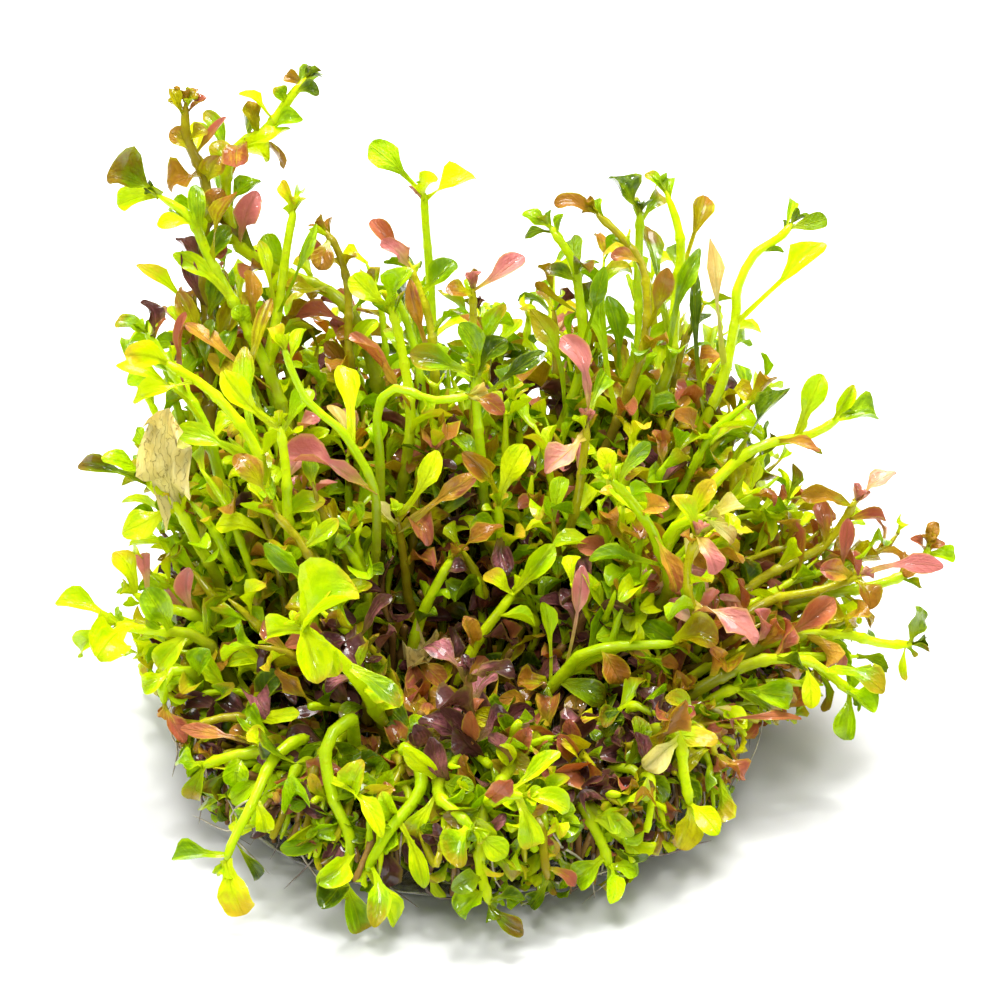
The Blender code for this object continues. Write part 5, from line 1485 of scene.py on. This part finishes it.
@dataclass
class LeafMaker:
    """Draws leaves with a natural spread of curls and shades, the same in each run."""

    draw: random.Random
    longest_blade: float = 5.4

    def detailed(self, blade: Blade, width: float, finish: Finish, wild: float = 1.0) -> LeafForm:
        """A leaf in the place of a blade.

        Args:
            blade: Where it is.
            width: How wide it is, in millimetres.
            finish: Its finish.
            wild: How much it curls.

        Returns:
            The leaf.
        """
        pull = self.draw.uniform
        aged = finish.value in AGED_LETTERS
        crumpled = finish is Finish.WITHERED
        width *= 1.3 if crumpled else 1.0
        narrow = max(1 - self.longest_blade / blade.length, pull(0.0, 0.2))
        return LeafForm(
            foot=blade.foot, tip=blade.tip, face=blade.face, width=width, finish=finish,
            bow=blade.bow + pull(-0.04, 0.1) * wild,
            cup=pull(0.0, 1.2),
            fold=0.4 if crumpled else pull(0.0, 0.6),
            twist=pull(-0.9, 0.9) * wild,
            ripple=pull(0.05, 0.6 if aged else 0.35) + (0.9 if crumpled else 0.0),
            phase=pull(0.0, 6.28),
            stalk=0.7 if crumpled else pull(0.15, 0.36),
            hook=pull(-0.25, 0.5) * wild,
            end=0.8 if crumpled else pull(0.25, 0.62),
            sickle=pull(-0.16, 0.16),
            spoon=0.0 if crumpled else min(narrow, 0.56),
            tint=pull(0.0, 1.0),
            age=pull(0.2, 1.0) if aged else max(0.0, pull(-0.7, 0.7)),
        )

    def pair(self, foot: Vector, ahead: Vector, turn: float, length: float, lift: float) -> list[Blade]:
        """Two leaves opposite each other.

        Args:
            foot: The node on the stem.
            ahead: The way that the stem runs.
            turn: How far they are turned about it.
            length: How long they are.
            lift: How much they lean along the stem, 0 for straight out.

        Returns:
            Their places.
        """
        pull = self.draw.uniform
        across = ahead.cross(Vector((0.3, 1.0, 0.2))).normalized()
        blades = []
        for side in (0.0, math.pi):
            out = Matrix.Rotation(turn + side + pull(-0.3, 0.3), 3, ahead) @ across
            way = (out + ahead * (lift + pull(-0.2, 0.3)) + Vector((0, 0, 0.15))).normalized()
            tip = foot + way * (length * pull(0.78, 1.12))
            blades.append(Blade(foot, tip, 1.0, ahead + Vector((0.0, 0.0, 0.4)), bow=pull(-0.03, 0.16)))
        return blades


@dataclass
class DetailedShoot:
    """A measured shoot as it looks: a round stem with nodes, its own leaves, and small ones at its tip."""

    name: str
    node: str
    slot: str
    route: list[Vector]
    stem: Finish
    radius: float
    measured: list[DrawnLeaf]
    bare: bool
    guard: Guard
    extra: list[DrawnLeaf] = field(default_factory=list)
    dim: float = 0.95
    folded: bool = False
    sink: float = 3.5
    spacing: float = 4.4
    first_share: float = 0.28
    leaf_length: float = 5.8
    leaf_width: float = 2.2

    def build(self) -> bpy.types.Object:
        """Draws the shoot in the place of its solid."""
        draw = random.Random(self.name + " looks")
        maker = LeafMaker(draw)
        piece = Foliage(self.name + "_detail", (self.node,), self.slot)
        leaves = self.measured + self.extra
        piece.fine_leaves = [maker.detailed(blade, width, finish, 0.65) for blade, width, finish in leaves]
        if self.folded:
            for form in piece.fine_leaves:
                form.end, form.fold, form.spoon, form.age = 0.22, 0.5, 0.0, 0.26
        length = route_length(self.route)
        nodes = []
        step = self.spacing / length
        share = 1.0 - 0.35 * step
        turn = draw.uniform(0.0, 3.14)
        while share > self.first_share:
            nodes.append(share)
            self.add_pair(piece, maker, share, turn, length)
            turn += math.pi / 2 + draw.uniform(-0.3, 0.3)
            share -= step * draw.uniform(0.8, 1.25)
        self.add_tip(piece, maker)
        foot = self.route[0] - Vector((0, 0, self.sink))
        sunk = [foot, foot.lerp(self.route[0], 0.5), *self.route]
        lowest = self.sink / (length + self.sink)
        nodes = [lowest + share * (1 - lowest) for share in nodes if share < 0.97]
        piece.stem_forms.append(StemForm(sunk, self.radius, self.radius * 0.62, nodes, self.stem,
                                         1.1 if self.bare else 1.25, draw.uniform(0.1, 0.9), self.dim))
        return piece.build()

    def add_pair(self, piece: Foliage, maker: LeafMaker, share: float, turn: float, length: float) -> None:
        """Adds a pair of leaves, smaller towards the tip, where the stem carries them."""
        place, ahead = place_on(self.route, share)
        near_tip = share > 1.0 - 6.0 / length
        chance = 0.9 if near_tip else (0.12 if self.bare else 0.75)
        size = 0.55 if near_tip else 1.0
        for blade in maker.pair(place, ahead, turn, self.leaf_length * size, 0.9 if near_tip else 0.45):
            if maker.draw.random() > chance:
                continue
            across, down = EYE.places(as_array([blade.tip]))[0]
            if not self.guard.meets(across, down, 1.5):
                continue
            if self.guard.hides(blade.spots(0.6, 1.0), 0.5):
                continue
            finish = Finish(maker.draw.choice(letters_at(across, down)))
            if self.stem is Finish.LIME_STEM and near_tip:
                finish = maker.draw.choice((Finish.LIME, Finish.GREEN, finish))
            piece.plain_leaves.append(maker.detailed(blade, self.leaf_width * size, finish))

    def add_tip(self, piece: Foliage, maker: LeafMaker) -> None:
        """Adds the small young leaves that close round the bud."""
        place, ahead = place_on(self.route, 1.0)
        finish = piece.fine_leaves[0].finish if piece.fine_leaves else Finish.LIME
        for turn in (0.4, 2.0):
            for blade in maker.pair(place - ahead * 0.4, ahead, turn, 2.3, 1.9):
                piece.plain_leaves.append(maker.detailed(blade, 1.0, finish, 0.8))


@dataclass
class Thicket:
    """The short shoots that fill the space between the measured ones.

    Each one stands on the gel and follows the measured shoots next to it, only shorter.
    """

    growth: Growth
    guard: Guard
    seed: str = "thicket"
    canopy: int = 300
    floor: int = 240
    rim: int = 120
    skirt: int = 200
    fallen: int = 170
    fallen_reach: float = 25.0
    fallen_size: tuple[float, float] = (4.6, 2.6)
    leaf_size: tuple[float, float] = (6.4, 2.5)
    back: float = 44.0
    neighbours: int = 3
    steps: int = 13
    groups: dict[str, Foliage] = field(default_factory=dict)

    def __post_init__(self) -> None:
        """Measures how every placed stem runs from its root."""
        self.draw = random.Random(self.seed)
        self.maker = LeafMaker(self.draw)
        shares = np.linspace(0, 1, self.steps)
        self.roots = np.array([tuple(route[0])[:2] for route in self.growth.stems.values()])
        self.runs = []
        for route in self.growth.stems.values():
            points = as_array([place_on(route, share)[0] for share in shares])
            self.runs.append(points - points[0])
        self.runs = np.array(self.runs)

    def piece_for(self, place: Vector) -> Foliage:
        """The piece of the thicket that stands there: left, right, front or back."""
        name = "left" if place.x < -9 else "right" if place.x > 9 else "middle"
        name += "_front" if place.y < -2 else "_back"
        if name not in self.groups:
            self.groups[name] = Foliage("thicket_" + name, (), "leaf_lime")
        return self.groups[name]

    def run_at(self, x: float, y: float) -> np.ndarray:
        """How a shoot rooted there would run, after its nearest neighbours."""
        away = np.hypot(self.roots[:, 0] - x, self.roots[:, 1] - y)
        closest = np.argsort(away)[:self.neighbours]
        weights = 1 / (away[closest] ** 2 + 6.0)
        weights = weights * np.array([self.draw.uniform(0.3, 1.0) for _ in closest])
        return (self.runs[closest] * weights[:, None, None]).sum(0) / weights.sum()

    def grow(self, x: float, y: float, scale: float, wander: float, dark: float) -> None:
        """Grows one short shoot.

        Args:
            x: Its root's place to the right.
            y: Its root's place to the back.
            scale: Its size against its neighbours.
            wander: How far its tip strays from their way, in millimetres.
            dark: How dark its leaves are, from 0 to 1, for old growth and for painted shade deep in the
                clump.
        """
        puck = self.growth.puck
        foot = np.array([x, y, puck.height])
        run = self.run_at(x, y)
        pull = self.draw.uniform
        stray = np.array([pull(-wander, wander), pull(-wander, wander), pull(-0.5 * wander, 0.5 * wander)])
        share = np.linspace(0, 1, self.steps)[:, None]
        for shrink in (1.0, 0.85, 0.7, 0.55, 0.4):
            points = foot + run * scale * shrink + stray * share ** 2 * shrink
            above = np.maximum(points[:, 2], puck.height + share[:, 0] * 2)
            points[:, 2] = np.where(np.hypot(*points.T[:2]) < puck.top_radius + 1.2, above, points[:, 2])
            seen = points[3:]
            room = 1.0 if scale > 0.5 else 0.4
            if points[:, 2].min() > 1.5 and CLOSE.holds(EYE.places(seen)).all():
                if not self.guard.hides(seen, room):
                    break
        else:
            return
        across, down = EYE.places(points[-1:])[0]
        if scale > 0.5 and in_hollow(across, down):
            return
        self.dress([Vector(point) for point in points], foot, dark)

    def dress(self, route: list[Vector], foot: np.ndarray, dark: float, scale: float = 1.0) -> None:
        """Adds a short shoot's stem and its leaves.

        Args:
            route: The stem's points.
            foot: Where it leaves the gel.
            dark: How dark its leaves are, from 0 to 1, for old growth and for painted shade deep in the
                clump.
            scale: How large its leaves are against the others'.
        """
        length = route_length(route)
        if length < 3.0:
            return
        piece = self.piece_for(Vector(foot))
        pull = self.draw.uniform
        spacing = pull(2.7, 4.0) * (0.5 + 0.5 * scale)
        share = 1.0 - 0.6 / length
        turn = pull(0.0, 3.14)
        nodes = []
        while share > 0.18 and len(nodes) < 8:
            place, ahead = place_on(route, share)
            nodes.append(share)
            near_tip = share > 1.0 - 4.5 / length
            size = (0.75 if near_tip else 1.0) * pull(0.75, 1.2) * scale
            # Lower leaves take the dark finishes more often: partly older leaves, partly painted shade under
            # the canopy.
            old = 0.5 * dark + 0.9 * max(0.0, 0.70 - share)
            long, wide = (measure * size for measure in self.leaf_size)
            for blade in self.maker.pair(place, ahead, turn, long, 0.8 if near_tip else 0.4):
                self.add_leaf(piece, blade, wide, old, near_tip)
            turn += math.pi / 2 + pull(-0.3, 0.3)
            share -= spacing / length * pull(0.8, 1.25)
        stem = Finish("M" if dark > 0.6 else self.draw.choice("LLO"))
        sunk = [route[0] - Vector((0, 0, 2.5)), *route]
        kept = [node for node in nodes if node < 0.95]
        radius = pull(0.46, 0.68) * (0.4 + 0.6 * scale)
        piece.stem_forms.append(StemForm(sunk, radius, radius * 0.6, kept, stem, tint=pull(0, 1), sides=6))

    def add_leaf(self, piece: Foliage, blade: Blade, width: float, dark: float, near_tip: bool) -> None:
        """Adds a leaf if it shows within the clump's outline, in the colours of its patch of the view."""
        tip = as_array([blade.tip])
        if blade.tip.y > self.back or not CLOSE.holds(EYE.places(tip))[0]:
            return
        if not self.growth.puck.clears(tip, 0.1):
            return
        if self.guard.hides(blade.spots(0.35, 0.7, 1.0), 1.0 if dark < 0.6 else 0.5):
            return
        across, down = EYE.places(tip)[0]
        letters = letters_at(across, down)
        # The dark finishes of the hollow and of old leaves are partly the leaves' own colour and partly
        # painted shade.
        if in_hollow(across, down) and self.draw.random() < 0.88:
            letters = HOLLOW_LETTERS
        elif self.draw.random() < dark and not near_tip:
            letters = OLD_AND_SHADED_LETTERS
        elif near_tip and self.draw.random() < 0.3 * (1 - dark):
            letters = YOUNG_LETTERS
        finish = Finish(self.draw.choice(letters))
        piece.plain_leaves.append(self.maker.detailed(blade, width, finish))

    def build(self) -> list[bpy.types.Object]:
        """Grows the canopy, the old growth below it, whose dark leaves also paint the shade under the canopy,
        the fringe round the rim and the leaves on the gel.

        Returns:
            The pieces.
        """
        radius = self.growth.puck.top_radius - 1.2
        pull = self.draw.uniform
        for count, scales, wander, darks in (
            (self.canopy, (0.55, 0.96), 3.5, (0.0, 0.35)),
            (self.floor, (0.16, 0.5), 3.0, (0.5, 1.0)),
        ):
            for x, y in spread(count, radius, scales[0] * 7):
                self.grow(x, y, pull(*scales), wander, pull(*darks))
        self.fringe()
        self.litter()
        return [piece.build() for piece in self.groups.values()]

    def litter(self) -> None:
        """Lays small old leaves on the gel, which show where hardly anything stands."""
        pull = self.draw.uniform
        for x, y in spread(self.fallen, self.fallen_reach, 2.0):
            foot = Vector((x, y, self.growth.puck.height + 0.5))
            ahead = Vector((pull(-0.3, 0.3), pull(-0.3, 0.3), 1.0)).normalized()
            for blade in self.maker.pair(foot, ahead, pull(0.0, 3.1), self.fallen_size[0], 0.3):
                finish = Finish(self.draw.choice(FALLEN_LETTERS))
                leaf = self.maker.detailed(blade, self.fallen_size[1], finish)
                self.piece_for(foot).plain_leaves.append(leaf)

    def fringe(self) -> None:
        """Grows the shoots that hang over the rim all the way round, and the small dark ones below them,
        which are old growth and also painted shadow under the hanging shoots.
        """
        pull = self.draw.uniform
        puck = self.growth.puck
        # The skirt's dark leaves below the rim are partly old growth and partly painted shadow under the
        # hanging shoots.
        for count, old in ((self.rim, False), (self.skirt, True)):
            for step in range(count):
                turn = math.tau * (step + pull(-0.4, 0.4)) / count
                out = Vector((math.cos(turn), math.sin(turn), 0.0))
                side = Vector((-out.y, out.x, 0.0)) * pull(-3.7, 3.7)
                front = out.y < -0.3
                rise, reach, drop, dark = (
                    (pull(0.4, 1.4), pull(0.5, 2.0), pull(-7.0, -2.5), pull(0.7, 1.2)) if old else
                    (pull(1.6, 4.0), pull(1.5, 3.5 if front else 7.0), pull(-5.5, 4.0), pull(0.1, 0.6))
                )
                start = out * pull(26.0, 29.2) + Vector((0, 0, puck.height))
                over = out * (puck.top_radius + 0.7) + side * 0.45 + Vector((0, 0, puck.height + rise))
                end = out * (puck.top_radius + reach) + side + Vector((0, 0, puck.height + drop))
                hung = as_array([over, over.lerp(end, 0.5), end])
                if end.z < 2.0 or not CLOSE.holds(EYE.places(hung))[2]:
                    continue
                if not self.guard.hides(hung, 0.4 if old else 1.0):
                    self.dress(smooth_route([start, over, end], 1.2), np.array(start), dark,
                               0.56 if old else 0.66 if front else 1.0)


@dataclass
class Gel:
    """The puck of clear gel, with the sizes of its solid."""

    puck: Puck = field(default_factory=Puck)
    steps: int = 96

    def build(self) -> bpy.types.Object:
        """Turns the puck's profile and rounds its edges."""
        puck = self.puck
        profile = [
            (0.0, puck.height), (10.0, puck.height), (20.0, puck.height),
            (puck.top_radius - puck.rim_width, puck.height),
            (puck.top_radius - 0.9, puck.height + 0.16),
            (puck.top_radius - 0.35, puck.height + puck.rim_rise),
            (puck.top_radius - 0.04, puck.height + puck.rim_rise - 0.06),
            (puck.top_radius - 0.02, puck.height + puck.rim_rise - 0.3),
            (puck.foot_radius + 0.06, puck.foot_round + 0.4),
            (puck.foot_radius - 0.08, puck.foot_round - 0.35),
            (puck.foot_radius - 0.4, 0.14),
            (puck.foot_radius - puck.foot_round, 0.0),
            (20.0, 0.0), (10.0, 0.0), (0.0, 0.0),
        ]
        mesh = bmesh.new()
        corners = [mesh.verts.new((x * MM, 0.0, z * MM)) for x, z in profile]
        edges = [mesh.edges.new(pair) for pair in zip(corners, corners[1:])]
        bmesh.ops.spin(mesh, geom=corners + edges, cent=(0, 0, 0), axis=(0, 0, 1), angle=math.tau,
                       steps=self.steps, use_merge=True)
        bmesh.ops.remove_doubles(mesh, verts=mesh.verts[:], dist=0.000002)
        bmesh.ops.recalc_face_normals(mesh, faces=mesh.faces[:])
        for face in mesh.faces:
            face.smooth = True
        piece = made_of(mesh, "gel")
        piece.data.materials.append(gel_material())
        return settle(piece, "gel", "gel_puck")


@dataclass
class Roots:
    """Fine roots: pale ones through the gel, and dark and pale ones that hang over its rim."""

    puck: Puck = field(default_factory=Puck)
    inner: int = 120
    outer: int = 60

    def routes(self) -> list[tuple[list[Vector], float, float]]:
        """Each root's points, its radius and its shade."""
        draw = random.Random("roots")
        pull = draw.uniform
        puck = self.puck
        made = []
        for x, y in spread(self.inner, puck.foot_radius - 1.5, 1.0):
            points = [Vector((x, y, puck.height - 0.6))]
            way = Vector((pull(-1, 1), pull(-1, 1), -0.5))
            for _ in range(5):
                way = (way + Vector((pull(-1, 1), pull(-1, 1), pull(-0.7, 0.5)))).normalized()
                after = points[-1] + way * pull(1.6, 3.4)
                after.z = min(max(after.z, 0.8), puck.height - 0.6)
                flat = math.hypot(after.x, after.y)
                if flat > puck.foot_radius - 1.0:
                    after.x *= (puck.foot_radius - 1.0) / flat
                    after.y *= (puck.foot_radius - 1.0) / flat
                points.append(after)
            made.append((smooth_route(points, 1.0), pull(0.08, 0.18), pull(0.2, 1.0)))
        for step in range(self.outer):
            turn = math.tau * (step + pull(-0.5, 0.5)) / self.outer
            out = Vector((math.cos(turn), math.sin(turn), 0.0))
            side = Vector((-out.y, out.x, 0.0))
            start = out * (puck.top_radius - 3.0) + Vector((0, 0, puck.height - 0.3))
            points = [start]
            for least, most, stray, low, high in (
                (0.5, 2.0, 2.0, 9.8, 11.0), (0.6, 3.0, 5.0, 3.0, 7.0), (0.0, 3.5, 8.0, 0.6, 5.0),
            ):
                rise = Vector((0, 0, pull(low, high)))
                flat = out * (puck.top_radius + pull(least, most))
                points.append(flat + side * pull(-stray, stray) + rise)
            made.append((smooth_route(points, 1.0), pull(0.09, 0.19), pull(0.3, 1.0)))
        for back, places, shade in THREADS:
            points = [EYE.seen(across, down, back) for across, down in places]
            made.append((smooth_route(points, 1.0), 0.2, shade))
        return made

    def build(self) -> bpy.types.Object:
        """Draws the roots as one mesh of thin tubes."""
        mesh = mapped_mesh()
        for route, radius, shade in self.routes():
            form = StemForm(route, radius, radius * 0.5, [], Finish.MAUVE_STEM, sides=5)
            template, points = drawn_stem(form)
            template.stamp(mesh, points * MM, (shade, 0.0), 0)
        piece = made_of(mesh, "roots")
        piece.data.materials.append(root_material())
        return settle(piece, "leaf_mauve")


@dataclass
class Studio:
    """The white ground, the soft lights and the camera."""

    floor_size: float = 3.0
    room_light: float = 0.42
    sensor: float = 36.0

    def build(self) -> None:
        """Sets up all of it."""
        self.build_floor()
        self.build_lights()
        self.build_camera()
        view = bpy.context.scene.view_settings
        view.view_transform = "Standard"
        view.look = "None"

    def build_floor(self) -> None:
        """Lays the plain white ground."""
        mesh = bmesh.new()
        bmesh.ops.create_grid(mesh, x_segments=8, y_segments=8, size=self.floor_size / 2)
        floor = made_of(mesh, "ground")
        floor.data.transform(Matrix.Translation((0.0, 0.0, -0.0001)))
        book = NodeBook("white_ground")
        body = book.node("ShaderNodeBsdfPrincipled", {}, {
            "Base Color": (0.78, 0.78, 0.78, 1.0), "Roughness": 0.9, "Specular IOR Level": 0.1,
        })
        floor.data.materials.append(book.finish(body.outputs[0]))

    def build_lights(self) -> None:
        """Hangs the lights in a white room."""
        world = bpy.data.worlds.new("white_room")
        bpy.context.scene.world = world
        world.use_nodes = True
        background = world.node_tree.nodes["Background"]
        background.inputs["Color"].default_value = (1.0, 1.0, 1.0, 1.0)
        background.inputs["Strength"].default_value = self.room_light
        for name, place, size, power in LIGHTS:
            light = bpy.data.lights.new(name, "AREA")
            light.shape = "SQUARE"
            light.size = size
            light.energy = power
            lamp = bpy.data.objects.new(name, light)
            lamp.location = place
            aim = Vector((0.0, 0.0, 0.03)) - lamp.location
            lamp.rotation_euler = aim.to_track_quat("-Z", "Y").to_euler()
            bpy.context.scene.collection.objects.link(lamp)

    def build_camera(self) -> None:
        """Puts the camera where the eye is."""
        data = bpy.data.cameras.new("camera")
        data.sensor_width = self.sensor
        data.lens = self.sensor * EYE.distance / EYE.width
        data.clip_start = 0.01
        data.clip_end = 20.0
        camera = bpy.data.objects.new("camera", data)
        camera.location = EYE.place * MM
        camera.rotation_euler = (math.radians(90.0) - EYE.tilt, 0.0, 0.0)
        bpy.context.scene.collection.objects.link(camera)
        bpy.context.scene.camera = camera


@dataclass
class Clump:
    """The whole clump, built in order: its stems' places, the detailed shoots, the rest, and the gel."""

    growth: Growth = field(default_factory=Growth)
    drawn_width: float = 1.12
    long_pairs: tuple[float, ...] = (0.36, 0.62)
    short_pairs: tuple[float, ...] = (0.45,)
    sprig_pairs: tuple[float, ...] = (0.35, 0.65, 0.93)
    back_pairs: tuple[float, ...] = (0.32, 0.52, 0.72, 0.93)

    def build(self) -> None:
        """Builds every piece."""
        for shoot in SHOOTS:
            self.growth.grow_stem(shoot)
        for bearing, lean, height in BACK_SHOOTS:
            self.growth.grow_back_stem(bearing, lean, height)
        self.growth.grow_low_sprigs(LOW_SPRIGS)
        LOG.info("placed %d stems", len(self.growth.stems))
        slots = {row["node"]: row["material_slot"] for row in frame["record"]["subparts"]}
        measured = {shoot.name: self.growth.measured_blades(shoot) for shoot in SHOOTS}
        finer = {shoot.name: self.finer_leaves(shoot) for shoot in SHOOTS}
        guard = Guard(self.growth, [blade for leaves in finer.values() for blade, _, _ in leaves])
        for shoot in SHOOTS:
            leaves = [
                (blade, leaf.width * self.drawn_width, Finish(leaf.letter))
                for blade, leaf in zip(measured[shoot.name], shoot.leaves)
            ]
            shares = self.long_pairs if len(shoot.path) > 3 else self.short_pairs
            if not shoot.bare:
                leaves += self.dressed_pairs(shoot.name, shares, 5.5, 2.8)
            node = "shoot_" + shoot.name
            DetailedShoot(shoot.name, node, slots[node], self.growth.stems[shoot.name], Finish(shoot.stem),
                          shoot.radius, leaves, shoot.bare, guard, finer[shoot.name],
                          0.2 if shoot.bare and not shoot.dark_foot else 0.95, shoot.folded).build()
        for name in self.growth.stems:
            if name not in measured:
                self.build_sprig(name, slots, guard)
        Thicket(self.growth, guard).build()
        Roots().build()
        Gel().build()

    def dressed_pairs(self, name: str, shares: tuple[float, ...], length: float, width: float
                      ) -> list[DrawnLeaf]:
        """The stem's pair leaves, each with its width and its finish."""
        draw = random.Random(name + " finishes")
        leaves = []
        for blade in self.growth.paired_blades(name, shares, length, width):
            across, down = EYE.places(as_array([blade.tip]))[0]
            leaves.append((blade, width * 0.82, Finish(draw.choice(letters_at(across, down)))))
        return leaves

    def finer_leaves(self, shoot: Shoot) -> list[DrawnLeaf]:
        """The small leaves that fill a shoot out, each with its width and its finish."""
        leaves = []
        for leaf in shoot.finer:
            foot, _ = place_on(self.growth.stems[shoot.name], leaf.at)
            blade = Blade(foot, leaf.tip(foot), leaf.width, EYE.half_up)
            leaves.append((blade, leaf.width * self.drawn_width, Finish(leaf.letter)))
        return leaves

    def build_sprig(self, name: str, slots: dict[str, str], guard: Guard) -> None:
        """Builds one of the shoots that the measured ones hide."""
        low = name.startswith("low")
        leaves = self.dressed_pairs(name, self.sprig_pairs if low else self.back_pairs, 6.5, 3.4)
        if low:
            leaves = [(blade, width, Finish.MAUVE) for blade, width, _ in leaves]
        stem = Finish.MAUVE_STEM if low else Finish.LIME_STEM
        DetailedShoot(name, name, slots[name], self.growth.stems[name], stem, 0.62, leaves, False,
                      guard).build()


def main() -> None:
    """Builds the clump and the studio."""
    logging.basicConfig(level=logging.INFO, format="%(name)s %(message)s")
    Clump().build()
    Studio().build()


if __name__ == "__main__":
    main()
